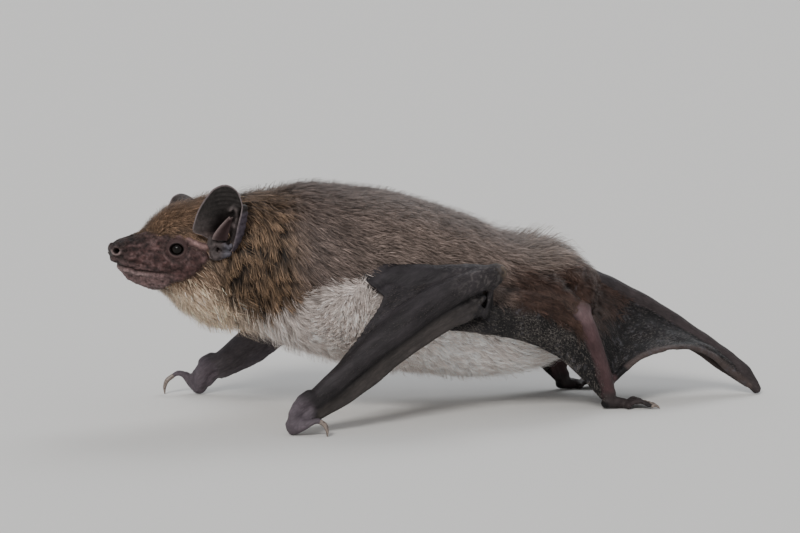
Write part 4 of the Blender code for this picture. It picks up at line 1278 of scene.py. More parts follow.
@dataclass
class Ear:
    """One ear: a thin cup with a fine rim and ribs, and a blunt flap before its opening.

    The rim's rows are how far forward, up and out of the ear's middle it runs,
    how far the cup swells there beside it, and how deep. No hair stands in the
    cup, or within the hair gap in front of it, in mm.
    """

    side: Side
    rim: tuple[tuple[float, ...], ...] = (
        (3.38, -1.57, 0.25, 0.72, 0.7), (3.26, -0.22, 0.55, 0.72, 0.9), (2.75, 1.57, 0.75, 0.7, 1.0),
        (1.85, 3.4, 0.62, 0.68, 1.0), (1.12, 4.3, 0.38, 0.68, 1.0), (-0.08, 4.72, 0.04, 0.7, 1.0),
        (-1.24, 3.98, -0.44, 0.8, 1.0), (-1.85, 2.4, -0.72, 1.00, 1.1), (-1.85, 1.2, -0.55, 1.7, 1.5),
        (-1.65, -0.2, -0.45, 2.1, 1.6), (-1.5, -1.6, -0.4, 2.1, 1.5), (-1.25, -2.95, -0.25, 1.75, 1.3),
        (-0.75, -4.05, -0.05, 1.15, 0.9), (0.28, -4.62, 0.15, 1.0, 0.7), (1.25, -4.45, 0.05, 1.0, 0.6),
        (1.5, -3.55, -0.5, 1.0, 0.5), (1.45, -2.6, -0.45, 1.0, 0.5), (2.35, -1.95, -0.05, 0.9, 0.5),
    )
    canal: Point = (0.25, -2.0, -2.3)
    ridge: tuple[tuple[float, float], ...] = (
        (-0.35, 1.15), (-0.75, 1.65), (-1.15, 1.35), (-1.2, 0.3), (-1.05, -1.2), (-0.8, -2.6), (0.2, -3.6),
    )
    spokes: int = 160
    rings: int = 44
    hair_gap: float = 0.6

    def __post_init__(self) -> None:
        """Sets the ear's middle and its forward, upward and outward directions."""
        if self.side is Side.LEFT:
            centre, up, out = (-23.4, -7.8, 23.6), (0.02, -0.3, 1.0), (-0.42, -0.9, 0.0)
        else:
            centre, up, out = (-24.2, 7.6, 21.8), (-0.08, 0.68, 1.0), (-0.55, 0.9, 0.0)
        self.centre, self.up = np.array(centre), unit(up)
        self.out = unit(np.array(out) - self.up * (np.array(out) @ self.up))
        self.front = unit(np.cross(self.out, self.up) * -self.side.value)

    def at(self, local: Array) -> Array:
        """Places from ones given as forward, up and out of the ear's middle."""
        local = np.asarray(local, float)
        return self.centre + local[..., :1] * self.front + local[..., 1:2] * self.up + local[..., 2:3] * self.out

    def local(self, p: Array) -> Array:
        """How far forward, up and out of the ear's middle some places lie."""
        gap = p - self.centre
        return np.stack([gap @ self.front, gap @ self.up, gap @ self.out], axis=-1)

    def covers(self, p: Array) -> Array:
        """Whether each place lies in the cup or in front of it."""
        f, u, w = self.local(p).T
        rim = np.array(self.rim)
        order = np.argsort(np.arctan2(rim[:, 1], rim[:, 0]))
        angles, reach = np.arctan2(rim[order, 1], rim[order, 0]), np.hypot(rim[order, 0], rim[order, 1])
        edge = np.interp(np.arctan2(u, f), angles, reach, period=TURN)
        height = np.interp(np.arctan2(u, f), angles, rim[order, 2], period=TURN)
        share = np.hypot(f, u) / edge
        floor = self.canal[2]
        return (share < 0.97) & (w > floor + (height - floor) * np.minimum(share, 1) ** 1.2 - self.hair_gap)

    def cup(self) -> Painted:
        """The cup of the ear, with its colour, painted shade in its depth and a painted highlight."""
        closed = np.array([*self.rim[-1:], *self.rim, *self.rim[:2]])
        shares = (1 + len(self.rim) * np.arange(self.spokes) / self.spokes) / (len(closed) - 1)
        around = through(closed, shares)
        r = np.concatenate([np.linspace(0.02, 0.88, self.rings - 12), np.linspace(0.893, 1.0, 12)])
        edge, swell, deep = around[:, None, :3], around[:, None, 3:4], around[:, None, 4]
        canal = np.array(self.canal)
        knee = canal + (edge - canal) * swell
        knee[..., 2] = edge[..., 2] - deep
        t = r[None, :, None]
        mid = (1 - t) ** 2 * canal + 2 * t * (1 - t) * knee + t * t * edge
        f, u = mid[..., 0], mid[..., 1]
        rows, columns = mid.shape[:2]
        ring = np.roll(mid, -1, axis=0) - np.roll(mid, 1, axis=0)
        normal = unit(np.cross(ring, np.gradient(mid, axis=1)))
        normal *= np.sign(normal[..., 2].mean())
        inward = 0.3 * bell(line_distance(mid[..., :2], self.ridge), 0.0, 0.24) * fade(1.0, 0.85, r)
        ribs = np.sin((u + 0.12 * f * f) * TURN / 0.62)
        inward = inward + 0.035 * ribs * fade(0.2, 1.6, u) * fade(0.97, 0.8, r) * fade(2.2, 0.8, f)
        back_ribs = 0.05 * np.sin(u * TURN / 0.85) * fade(-1.2, -2.0, f) * fade(1.0, 0.85, r)
        thick = (0.28 - 0.12 * r) * np.sqrt(np.clip(1 - (r - 0.955) / 0.047, 0.02, 1))
        inner = mid + normal * (thick / 2 + inward)[..., None]
        outer = mid - normal * (thick / 2 + back_ribs - 0.6 * inward)[..., None]
        local = np.vstack([inner.reshape(-1, 3), outer.reshape(-1, 3)])
        start, faces = rows * columns, []
        sheet_faces = grid_faces(rows + 1, columns)
        for base, order in ((0, 1), (start, -1)):
            faces += [tuple(i % start + base for i in face)[::order] for face in sheet_faces]
            faces.append(tuple(i * columns + base for i in range(rows))[::order])
        for i in range(rows):
            a, b = i * columns + columns - 1, (i + 1) % rows * columns + columns - 1
            faces.append((a, a + start, b + start, b))
        points = self.at(local)
        reach = np.tile(np.broadcast_to(r, (rows, columns)).ravel(), 2)
        inside = np.repeat((1.0, 0.0), start)
        f, u = local[:, 0], local[:, 1]
        tint = even((0.027, 0.023, 0.022), points)
        front = fade(0.8, 2.8, f + 0.3 * noise(points, 0.6, 43))
        tint = blend(tint, (0.075, 0.062, 0.06), inside * front * fade(2.0, -1.0, u))
        tint = blend(tint, (0.085, 0.06, 0.056), inside * fade(-0.9, -2.4, u) * 0.7)
        # The deep middle of the cup, round the canal, is painted near black as painted shade.
        tint = blend(tint, (0.012, 0.008, 0.008), inside * fade(0.5, 0.15, reach))
        ridge = bell(line_distance(local[:, :2], self.ridge), 0.0, 0.2)
        tint = blend(tint, (0.105, 0.085, 0.083), inside * ridge * 0.75 * fade(0.9, 0.8, reach))
        tint = blend(tint, (0.06, 0.048, 0.062), (1 - inside) * 0.9 * fade(-0.5, -1.6, f) * fade(1.8, 0.8, u))
        tint = blend(tint, (0.05, 0.036, 0.032), (1 - inside) * 0.6 * fade(-1.6, -0.5, f))
        tint = blend(tint, (0.19, 0.155, 0.158), 0.85 * fade(0.945, 0.98, reach) * (0.3 + 0.7 * fade(-1.5, 0.8, u)))
        # A pale spot inside the cup is a painted highlight.
        tint = blend(tint, (0.19, 0.15, 0.15), inside * 0.8 * bell(np.hypot(f + 0.88, u + 0.85), 0.0, 0.28))
        tint = tint * (1 + 0.25 * noise(points, 0.5, 41) + 0.3 * noise(points, 0.2, 44))[:, None]
        lay = local * (0.35, 1.0, 1.0)
        full = np.full(len(points), 1.0)
        return Painted(Shape(points, faces), tint, 0.5 * full, 0.1 * full, lay)

    def flap(self) -> Painted:
        """The short blunt flap in front of the ear's opening."""
        front = [(1.15, -2.25, -0.35), (0.95, -1.6, -0.1), (0.45, -0.75, -0.05)]
        front += [(-0.15, 0.05, -0.15), (-0.72, 0.72, -0.4)]
        rear = [(-0.45, -2.4, -0.8), (-0.55, -1.7, -0.75), (-0.68, -0.8, -0.7), (-0.86, 0.1, -0.6), (-0.98, 0.6, -0.5)]
        crown = lambda u, v: (0.15 * np.sin(np.pi * v) + 0.12 * np.sin(2 * np.pi * v))[..., None] * np.array((0, 0, 1))
        grid = sheet(front, rear, 44, 30, crown)
        tall, edge = np.broadcast_arrays(*spans(grid))
        shape = slab(grid, 0.17 + 0.14 * bell(edge, 0.04, 0.1))
        rim = np.tile(np.maximum(bell(edge, 0.0, 0.16), 0.7 * fade(0.88, 1.0, tall)).ravel(), 2)
        shape.points = self.at(shape.points)
        tint = even((0.04, 0.023, 0.023), shape.points)
        tint = blend(tint, (0.2, 0.15, 0.145), rim * 0.85)
        full = np.full(len(rim), 1.0)
        return Painted(shape, tint, 0.55 * full, 0.1 * full, shape.points)

    def lobe(self) -> Painted:
        """The fleshy lobes at the foot of the opening."""
        runs = (
            (((-0.95, -3.8, -0.2), (-0.2, -4.05, -0.15), (0.5, -4.35, -0.1)), (0.34, 0.46, 0.42)),
            (
                ((1.3, -2.35, -0.5), (1.25, -3.0, -0.4), (0.9, -3.8, -0.2), (0.7, -4.35, -0.1)),
                (0.32, 0.46, 0.38, 0.5),
            ),
            (
                ((0.95, -2.75, -0.55), (0.25, -3.0, -0.5), (-0.5, -3.1, -0.4), (-1.05, -2.7, -0.3)),
                (0.36, 0.4, 0.42, 0.26),
            ),
        )
        shape, normal = fused([tube(self.at(line), radii, 12, 18) for line, radii in runs], 0.11, 5)
        lump = noise(shape.points, 0.5, 42) + 0.7 * noise(shape.points, 0.26, 46)
        shape.points = shape.points + normal * 0.13 * lump[:, None]
        local = self.local(shape.points)
        tint = blend(even((0.058, 0.045, 0.044), local), (0.068, 0.063, 0.075), fade(0.3, -0.8, local[:, 0]))
        # The colour follows the lumps, lighter on their tops and darker in their dips, as painted light and shade.
        tint = tint * (1 + 0.45 * np.clip(lump, -1, 1.2))[:, None]
        full = np.full(len(local), 1.0)
        return Painted(shape, tint, 0.5 * full, 0.35 * full, shape.points)


# Skin


@dataclass
class Skin:
    """The one skin over head, trunk, wings, legs, tail and ears."""

    form: BodyForm
    face: Face
    marks: Markings
    wings: Sequence[Wing]
    legs: Sequence[HindLimb]
    tail: Tail
    ears: Sequence[Ear]
    voxel: float = 0.195
    kept: tuple[str, ...] = ("eye_left", "eye_right", "thumb_claw_left", "thumb_claw_right")

    def trunk(self) -> Painted:
        """The skin of head and trunk, below the coat."""
        bed, bare = self.form.bed, self.form.bare
        rise = self.face.rise(bed.tips) * fade(-22.0, -24.0, bed.tips[..., 0])
        surface = bed.tips + bed.normal * (rise - bed.depth)[..., None]
        rows, columns = bare.shape
        front, back = surface[0].mean(axis=0) + (-0.03, 0, 0), surface[-1].mean(axis=0) + (0.1, 0, 0)
        points = np.vstack([surface.reshape(-1, 3), front, back])
        faces = grid_faces(rows, columns, closed=True)
        end, last = rows * columns, (rows - 1) * columns
        for j in range(columns):
            k = (j + 1) % columns
            faces += [(end, k, j), (end + 1, last + j, last + k)]
        plain, mask = bed.tips.reshape(-1, 3), bare.ravel()
        # Under the coat the skin is half as light as the coat, as painted shade in the gaps between tufts.
        tint = self.marks.coat(plain) * 0.5
        tint = tint + (self.marks.face_skin(plain, self.face) - tint) * mask[:, None]
        tint, mask = np.vstack([tint, tint[:1], tint[-1:]]), np.append(mask, (1.0, 0.0))
        moist = fade(-33.2, -34.6, points[:, 0])
        return Painted(Shape(points, faces), tint, 0.3 + 0.2 * mask + 0.3 * moist, 0.8 * mask, points)

    def limbs(self) -> Painted:
        """The skin of wings, legs and tail, grown over their parts as one."""
        parts = self.tail.shapes()
        for wing in self.wings:
            parts += [*wing.bones(), *wing.skins()]
        for leg in self.legs:
            parts += leg.shapes()
        shape, normal = fused(parts, self.voxel, 3)
        p = shape.points
        marks, x, z = self.marks, p[:, 0], p[:, 2]
        tint = even(marks.wing, p)
        gloss, grain, lay = np.full(len(p), 0.42), np.full(len(p), 0.6), p.copy()
        tint = blend(tint, marks.web, fade(3.0, 9.0, x) * fade(15.5, 13.0, z))
        tint = blend(tint, np.array(marks.thigh) * 0.8, fade(9.5, 12.5, x) * fade(25.0, 22.5, x) * fade(11.5, 13.5, z))
        stretch = fade(23.5, 25.0, x)[:, None]
        lay = lay + (self.stretched(p, unit((1.0, 0.0, -0.62))) - lay) * stretch
        creases = np.zeros(len(p))
        for wing in self.wings:
            along, below, out = wing.bundle()
            own = fade(10.0, 7.0, x) * (p[:, 1] * wing.side.value > 9.5)
            local = np.stack([p @ along / 6.0, p @ below, p @ out], axis=-1)
            lay = lay + (local - lay) * own[:, None]
            tint = blend(tint, marks.arm, 0.9 * fade(2.4, 1.4, line_distance(p, wing.forearm_line())))
            wrinkle = noise(local, 0.6, 35) + 0.6 * noise(local, 0.4, 36)
            creases += own * 0.09 * wrinkle
            # The wrinkles' dips are darkened and their tops lightened as painted shade and light; the far, right wing
            # is made far lighter as painted light against the shade it stands in.
            tint = tint * (1 + own * (0.35 * wrinkle + 2.2 * (wing.side is Side.RIGHT)))[:, None]
            for index in range(3):
                # Finger lines are painted lighter, partly as the fingers' own colour and partly as painted highlight on
                # their ridges.
                bone = fade(0.62, 0.36, line_distance(p, wing.finger_line(index)[:5]))
                tint = blend(tint, (0.044, 0.037, 0.034), bone * 0.75)
            # A groove below the arm is painted almost black as painted shade, and sunk in the skin.
            fold = line_distance(p, [wing.hand(s, -0.5, 0.25) for s in (0.1, 0.3, 0.5, 0.7, 0.95)])
            tint = blend(tint, (0.0075, 0.0065, 0.0068), 0.85 * fade(1.0, 0.45, fold))
            creases -= 0.16 * fade(0.6, 0.25, fold)
            joint = p - wing.at(wing.forearm[0])
            elbow = fade(1.5, 0.7, np.linalg.norm(joint - (0.9, 0, 0.5), axis=1))
            pale_flakes_and_glints = fade(0.0, 0.45, noise(p, 0.42, 34))
            # The elbow's knob is painted pale in flakes, partly as the skin's own flakes and partly as painted
            # highlight.
            tint = blend(tint, (0.15, 0.11, 0.075), elbow * (0.25 + 0.55 * pale_flakes_and_glints))
            scaly = fade(8.0, 1.5, np.linalg.norm(joint, axis=1)) * fade(0.1, 0.5, noise(p, 0.22, 29))
            tint = blend(tint, (0.085, 0.075, 0.072), 0.55 * scaly)
            creases += 0.08 * elbow * noise(p, 0.6, 30)
            thumb, claw = wing.thumb_lines()
            hand = np.maximum(
                fade(2.3, 1.4, line_distance(p, wing.pad_line()[1:])),
                fade(1.2, 0.8, line_distance(p, [*thumb, *claw])),
            )
            tint, grain = blend(tint, marks.wrist, hand), grain + 0.2 * hand
            creases += 0.035 * hand * noise(p * (0.6, 1, 1.8), 0.45, 37)
        legs = np.zeros(len(p))
        for leg in self.legs:
            line = leg.shin_line()
            shin, away = fade(1.6, 1.25, line_distance(p, line)), line_distance(p, leg.toe_lines()[2])
            heel = line_distance(p, [line[-1], line[-1] + (0.5, 0, -1)])
            foot = np.maximum(fade(2.0, 1.2, away), fade(1.3, 0.9, heel))
            legs = np.maximum(legs, np.maximum(shin, foot))
            tint = blend(tint, marks.shin, shin * fade(0.5, 2.5, z))
            # The knee's knob is painted pale as a painted highlight.
            knee = hill(p, leg.at(leg.knee) + (0.2, 0, 0.2), 1.5) * shin
            tint = blend(tint, (0.19, 0.13, 0.135), 0.75 * knee)
            creases += 0.05 * shin * noise(self.stretched(p, unit(line[-1] - line[0]), 3.0), 0.6, 28)
            # The foot is painted darker near the floor, partly as its own colour and partly as painted shade.
            tint = blend(tint, (0.036, 0.027, 0.027), foot * fade(2.6, 1.4, z))
            lay = lay + (self.stretched(p, unit(line[-1] - line[0])) - lay) * shin[:, None]
            gloss, grain = gloss + 0.3 * shin, grain * (1 - 0.4 * shin)
            creases += 0.03 * foot * noise(p * (1.8, 0.7, 1), 0.4, 38)
        bone = fade(1.25, 0.9, line_distance(p, self.tail.line))
        tint = blend(tint, marks.tail, bone * 0.85)
        for side in Side:
            hem = fade(0.62, 0.34, line_distance(p, through(self.tail.rail(side), 0.32 + 0.68 * steps(30))))
            tint = blend(tint, (0.075, 0.056, 0.052), hem * 0.85)
        web = fade(3.0, 9.0, x) * (1 - np.minimum(bone + legs, 1))
        creases += 0.04 * web * noise(lay, 0.6, 39)
        p += normal * creases[:, None]
        p[:, 2] = np.maximum(p[:, 2], 0.0)
        flecks = fade(0.2, 0.6, noise(p, 0.26, 31)) * fade(-0.3, 0.4, noise(p, 1.3, 32))
        tint = blend(tint, (0.085, 0.08, 0.09), 0.55 * flecks * web)
        speckle = 1 + 0.2 * noise(p, 1.1, 33) + 0.15 * noise(p, 3.5, 34)
        return Painted(shape, tint * speckle[:, None], gloss, grain, lay)

    @staticmethod
    def stretched(p: Array, along: Array, by: float = 5.0) -> Array:
        """Places squeezed along a direction, so that what is read there is drawn out along it."""
        return p - (p @ along)[:, None] * along * (1 - 1 / by)

    def build(self, bench: Bench) -> bpy.types.Object:
        """Joins every stretch of skin into one piece."""
        parts = [self.trunk(), self.limbs()]
        for side, ear in zip(Side, self.ears):
            parts += [ear.cup(), ear.flap(), ear.lobe(), self.face.lids(side)]
        shape = Shape.joined([part.shape for part in parts])
        flesh = sorted(set(bench.nodes) - set(self.kept))
        skin = bench.piece("skin", shape, Hide.name, "wing_skin", flesh)
        kinds = {"tint": "FLOAT_COLOR", "gloss": "FLOAT", "grain": "FLOAT", "lay": "FLOAT_VECTOR"}
        for name, kind in kinds.items():
            values = np.concatenate([getattr(part, name) for part in parts])
            keep(skin.data, name, kind, values * MM if name == "lay" else values)
        return skin


# Coat


@dataclass
class Tufts:
    """Middle lines of many tufts, with what each needs to become a thin blade.

    Attributes:
        line: tufts by steps by xyz, from root to tip.
        normal: the body's outward direction along each line.
        width: widest part of each tuft, in mm.
        tint: colours, tufts by steps by rgb.
        root: each root's place on the unwrap, from 0 to 1 both ways.
    """

    line: Array
    normal: Array
    width: Array
    tint: Array
    root: Array

    TAPER = {2: (0.8, 1.0), 3: (0.7, 1.0, 0.72)}
    PATCH = 0.003

    @staticmethod
    def joined(parts: Sequence["Tufts"]) -> "Tufts":
        """One lot that holds several."""
        names = ("line", "normal", "width", "tint", "root")
        return Tufts(*(np.concatenate([getattr(t, name) for t in parts]) for name in names))

    def only(self, wanted: Array) -> "Tufts":
        """The tufts that are wanted."""
        return Tufts(self.line[wanted], self.normal[wanted], self.width[wanted], self.tint[wanted], self.root[wanted])

    def build(self, bench: Bench, name: str, slot: str) -> bpy.types.Object:
        """Makes the blades into one piece, each a thin tapered strip along its line.

        Args:
            bench: places and dresses pieces.
            name: the piece's name.
            slot: not used.

        Returns:
            The piece.
        """
        count, bends = len(self.line), self.line.shape[1] - 1
        size = 2 * bends + 1
        ahead = unit(np.gradient(self.line, axis=1))
        side = unit(np.cross(ahead, self.normal))[:, :bends]
        half = side * self.width[:, None, None] / 2 * np.array(self.TAPER[bends])[None, :, None]
        pairs = np.stack([self.line[:, :bends] - half, self.line[:, :bends] + half], axis=2)
        points = np.concatenate([pairs.reshape(count, 2 * bends, 3), self.line[:, bends:]], axis=1)
        soft = self.normal[:, :bends] - 0.15 * ahead[:, :bends]
        normals = np.stack([soft - 0.38 * side, soft + 0.38 * side], axis=2).reshape(count, 2 * bends, 3)
        normals = unit(np.concatenate([normals, self.normal[:, bends:]], axis=1))
        pattern = [k for s in range(bends - 1) for k in (2 * s, 2 * s + 1, 2 * s + 3, 2 * s + 2)]
        pattern = np.array([*pattern, size - 3, size - 2, size - 1])
        corners = (np.arange(count)[:, None] * size + pattern).ravel()
        mesh = bpy.data.meshes.new(name)
        mesh.vertices.add(count * size)
        mesh.vertices.foreach_set("co", bench.place(points).ravel())
        mesh.loops.add(len(corners))
        mesh.loops.foreach_set("vertex_index", corners)
        mesh.polygons.add(count * bends)
        sides = np.tile((4,) * (bends - 1) + (3,), count)
        mesh.polygons.foreach_set("loop_start", np.concatenate([(0,), np.cumsum(sides)[:-1]]))
        mesh.update(calc_edges=True)
        mesh.shade_smooth()
        step = np.array([*np.repeat(np.arange(bends), 2), bends])
        keep(mesh, "tint", "FLOAT_COLOR", self.tint[:, step])
        across, along = np.array([*(-1, 1) * bends, 0]) * self.PATCH / 2, (step / bends - 0.5) * self.PATCH
        uv = self.root[:, None] + np.stack([across, along], axis=-1)[None]
        mesh.uv_layers.new(name="OFBake").uv.foreach_set("vector", uv[:, pattern].astype(np.float32).ravel())
        mesh.normals_split_custom_set_from_vertices(normals.reshape(-1, 3))
        return bench.dress(name, mesh, Fur.name)


@dataclass(frozen=True)
class Growth:
    """How hair grows, each table read along the body's length.

    Attributes:
        bends: how many stretches a tuft is made of.
        clump: rough size of a clump along x, y and z, in mm.
        length: length of a tuft, in mm.
        width: width of a tuft, in mm.
        pull: how far tips lean to the middle of their clump, from 0 to 1.
        gap: how far hair sinks between clumps, from 0 to 1.
    """

    bends: int = 2
    clump: Point = (0.9, 0.42, 0.42)
    length: Table = (
        (-31.8, 0.45), (-29.5, 0.8), (-27.0, 1.1), (-24.0, 1.7), (-20.0, 2.6), (-15.0, 2.2), (-8.0, 1.5),
        (8.0, 1.6), (13.0, 2.4), (17.0, 3.4), (24.0, 3.2),
    )
    width: Table = (
        (-31.8, 0.036), (-27.0, 0.052), (-22.0, 0.075), (-15.0, 0.068), (0.0, 0.059), (12.0, 0.068), (24.0, 0.08),
    )
    pull: Table = (
        (-30.0, 0.3), (-26.0, 0.5), (-23.0, 0.85), (-17.0, 0.85), (-13.0, 0.4), (0.0, 0.4), (12.0, 0.5), (18.0, 0.7),
    )
    gap: Table = (
        (-28.0, 0.15), (-25.0, 0.45), (-22.0, 0.8), (-17.0, 0.75), (-13.0, 0.3), (0.0, 0.25), (14.0, 0.3), (20.0, 0.35),
    )


class Patch(Enum):
    """A patch of the coat: its name, range of x, which half, how many tufts, and their growth."""

    HEAD = ("coat_head", -33.4, -23.5, 0, 38500, Growth(3, (0.55, 0.4, 0.4)))
    NECK = ("coat_neck", -23.5, -15.5, 0, 39500, Growth(3, (0.75, 0.9, 2.0)))
    SHOULDERS = ("coat_shoulders", -15.5, -4.0, 1, 56000, Growth())
    CHEST = ("coat_chest", -15.5, -4.0, -1, 46000, Growth(clump=(1.1, 0.6, 0.4)))
    BACK = ("coat_back", -4.0, 9.5, 1, 60000, Growth())
    BELLY = ("coat_belly", -4.0, 9.5, -1, 42000, Growth(clump=(1.4, 0.6, 0.6)))
    RUMP = ("coat_rump", 9.5, 25.3, 0, 38500, Growth(3, (1.1, 0.6, 0.6)))


@dataclass
class Coat:
    """The coat: fine tufts that lie along the body from the skin up to its outline."""

    form: BodyForm
    face: Face
    marks: Markings
    wings: Sequence[Wing]
    legs: Sequence[HindLimb]
    tail: Tail
    ears: Sequence[Ear]
    seed: int = 17
    slope: Table = (
        (-32, 0.05), (-28, 0.25), (-25, 0.9), (-22.5, 2.8), (-18, 3.6),
        (-15.5, 1.7), (-13, 0.7), (-8, 0.35), (6, 0.2), (12, 0.3),
    )
    eye_clear: float = 1.25

    def lie(self, p: Array) -> Array:
        """Which way the hair runs at places on the body."""
        x, y, z = p.T
        fall, rise = look_up(self.slope, x), 0.7 * bell(x, 16.5, 4.0) * fade(18.5, 20.5, z)
        flow = np.stack([np.ones(len(x)), 0.22 * np.clip(y / 6, -1, 1) * fade(8, 14, x), rise - fall], axis=-1)
        armpit = np.stack([np.full(len(x), -7.5), 11.0 * np.sign(y), np.full(len(x), 16.6)], axis=-1)
        way = armpit - p
        near = fade(14.0, 6.0, np.linalg.norm(way, axis=1)) * fade(17.5, 15.0, z) * fade(-5.0, -8.0, x)
        flow = flow + (1.3 * unit(way) - flow) * near[:, None]
        sway = np.stack([noise(p, 2.6, 51 + k) + 0.7 * noise(p, 1.1, 61 + k) for k in range(3)], axis=-1)
        calm = fade(-17.5, -14.5, x) * fade(0.0, -4.0, x) * fade(18.0, 16.0, z)
        return unit(flow) + (0.24 - 0.14 * calm)[:, None] * sway

    def shades(self, p: Array, far: Array, mark: Array, bends: int, rng: np.random.Generator) -> Array:
        """Colours of each tuft from its dark root to its paler tip, darker towards clump edges as painted shade.

        Args:
            p: the roots' places.
            far: distance from the middle of the clump, in clump sizes.
            mark: a fixed value from 0 to 1 for the clump.
            bends: how many stretches a tuft is made of.
            rng: the source of chance.

        Returns:
            Tufts by steps by rgb.
        """
        n, spread = len(p), look_up(((-28, 0.5), (-25, 1.3), (-21, 1.0), (-16, 0.4), (25, 0.5)), p[:, 0])
        base = self.marks.coat(p + np.array((0, 0, 1.0)) * rng.normal(0, spread)[:, None])
        vary = look_up(((-32, 0.5), (-24, 0.42), (-15, 0.28), (25, 0.24)), p[:, 0])
        own = np.exp(rng.normal(0, vary)) * (1 + 0.4 * (mark - 0.5))
        frost = np.where(rng.uniform(0, 1, n) < 0.16, rng.uniform(1.3, 2.1, n), 1.0)
        mane = fade(-25.5, -22.5, p[:, 0]) * fade(-13.5, -17.5, p[:, 0])
        pale = fade(0.14, 0.28, base.mean(axis=1))
        # Tufts far from their clump's middle are darkened as painted shade in the gaps between clumps.
        own = own * (1 - (0.35 + 0.53 * mane) * fade(0.25, 0.68, far) * (1 - 0.6 * pale))
        tips = []
        for t in steps(bends):
            tone = 0.45 + 0.75 * t + (0.14 + 1.8 * t**2 - 0.45 - 0.75 * t) * mane
            tone = tone + (0.82 + 0.24 * t - tone) * pale
            colour = base * (tone * own * (1 + (frost - 1) * t * (1 - 0.6 * pale)))[:, None]
            warm = 1 + (np.array((1.06, 0.98, 0.82)) - 1) * (mane * (1 - pale) * t)[:, None]
            tips.append(colour * warm)
        return np.stack(tips, axis=1)

    def grow(
        self, bed: Bed, weight: Array, count: int, growth: Growth, rng: np.random.Generator, flow: Array | None = None
    ) -> Tufts:
        """Grows tufts over a bed.

        Args:
            bed: what they grow on.
            weight: how thickly they grow at each of its grid points.
            count: how many.
            growth: how they grow.
            rng: the source of chance.
            flow: which way they run, where that isn't the coat's own lie.

        Returns:
            The tufts.
        """
        i, j = bed.scatter(rng, count, weight * (bed.depth > 0.03))
        root, out = bed.read(bed.tips, i, j), unit(bed.read(bed.normal, i, j))
        along, around, depth = (bed.read(v, i, j) for v in (bed.along, bed.around, bed.depth))
        step_i, step_j = np.linalg.norm(along, axis=1), np.linalg.norm(around, axis=1)
        along, around = unit(along), unit(around)
        lie = self.lie(root) if flow is None else flow + 0.3 * rng.normal(0, 1, root.shape)
        lie = unit(lie - dot(lie, out)[:, None] * out)
        turn = rng.normal(0, 0.14, count)
        lie = unit(lie + turn[:, None] * np.cross(out, lie))
        x = root[:, 0]
        way, far, mark = clumps(root, growth.clump, self.seed)
        length = look_up(growth.length, x) * rng.uniform(0.7, 1.2, count) * np.clip(0.3 + depth / 0.8, 0.3, 1.0)
        pull, gap = look_up(growth.pull, x), look_up(growth.gap, x)
        lift = rng.uniform(0.3, 1.06, count) * (1 - gap * fade(0.3, 0.75, far))
        lift = np.where(rng.uniform(0, 1, count) < 0.03, rng.uniform(1.05, 1.4, count), lift)
        lift = lift * (1 + 0.42 * bell(x, 16.5, 4.0) * fade(18.0, 20.0, root[:, 2]))
        lift = lift * (1 - 0.25 * bell(x, -19.5, 4.0) * fade(23.5, 26.0, root[:, 2]))
        lines, normals = [], []
        for t in steps(growth.bends):
            move = lie * (length * t)[:, None] + way * (pull * t)[:, None]
            at_i, at_j = i + dot(move, along) / step_i, j + dot(move, around) / step_j
            normal = unit(bed.read(bed.normal, at_i, at_j))
            sunk = bed.read(bed.depth, at_i, at_j) * (1 - lift * float(fade(0.0, 0.6, np.array(t)))) + 0.04 * (1 - t)
            lines.append(bed.read(bed.tips, at_i, at_j) - normal * sunk[:, None])
            normals.append(normal)
        width = look_up(growth.width, x) * rng.uniform(0.65, 1.3, count)
        tint = self.shades(root, far, mark, growth.bends, rng)
        return Tufts(np.stack(lines, axis=1), np.stack(normals, axis=1), width, tint, np.stack([j, i], axis=-1))

    def clear(self, tufts: Tufts) -> Tufts:
        """Leaves out the tufts that would stand in an ear's cup or over an eye."""
        bad = np.zeros(len(tufts.line), bool)
        for ear, k in itertools.product(self.ears, range(tufts.line.shape[1])):
            bad |= ear.covers(tufts.line[:, k])
        for k in (0, -1):
            bad |= self.face.eye_distance(tufts.line[:, k]) < self.eye_clear
        return tufts.only(~bad)

    @staticmethod
    def unwrap(tufts: Tufts, low: Sequence[float], high: Sequence[float], tile: int = 0, tiles: int = 1) -> Tufts:
        """Scales the roots' rows and columns to their share of the unwrap."""
        share = np.clip((tufts.root - np.array(low)) / (np.array(high) - np.array(low)), 0, 1)
        tufts.root = (np.array((tile, 0)) + 0.02 + 0.96 * share) / np.array((tiles, 1))
        return tufts

    @staticmethod
    def dye(tufts: Tufts, colour: Array | Sequence[float], tones: Array, run: Point = (1.0, 1.0, 1.0)) -> None:
        """Gives tufts one colour, with a tone for each tuft and a run from root to tip."""
        tufts.tint = np.array(colour) * tones[:, None, None] * np.array(run)[None, :, None]

    @staticmethod
    def on_sheet(grid: Array, side: Side, height: float, depth: float) -> Bed:
        """A bed on the outer face of a sheet of skin."""
        normal = sheet_normal(grid)
        normal *= np.sign(normal[..., 1].mean()) * side.value
        return Bed(grid + normal * height, normal, np.full(grid.shape[:2], depth), closed=False)

    @staticmethod
    def on_limb(line: Array, radii: Sequence[float], depths: Sequence[float], sides: int) -> Bed:
        """A bed round a limb, with radii and depths spread along it."""
        shares = steps(len(line) - 1)
        tips = rings_along(line, np.interp(shares, steps(len(radii) - 1), radii), sides)
        depth = np.interp(shares, steps(len(depths) - 1), depths)[:, None] * np.ones((1, sides))
        return Bed(tips, unit(tips - line[:, None]), depth)

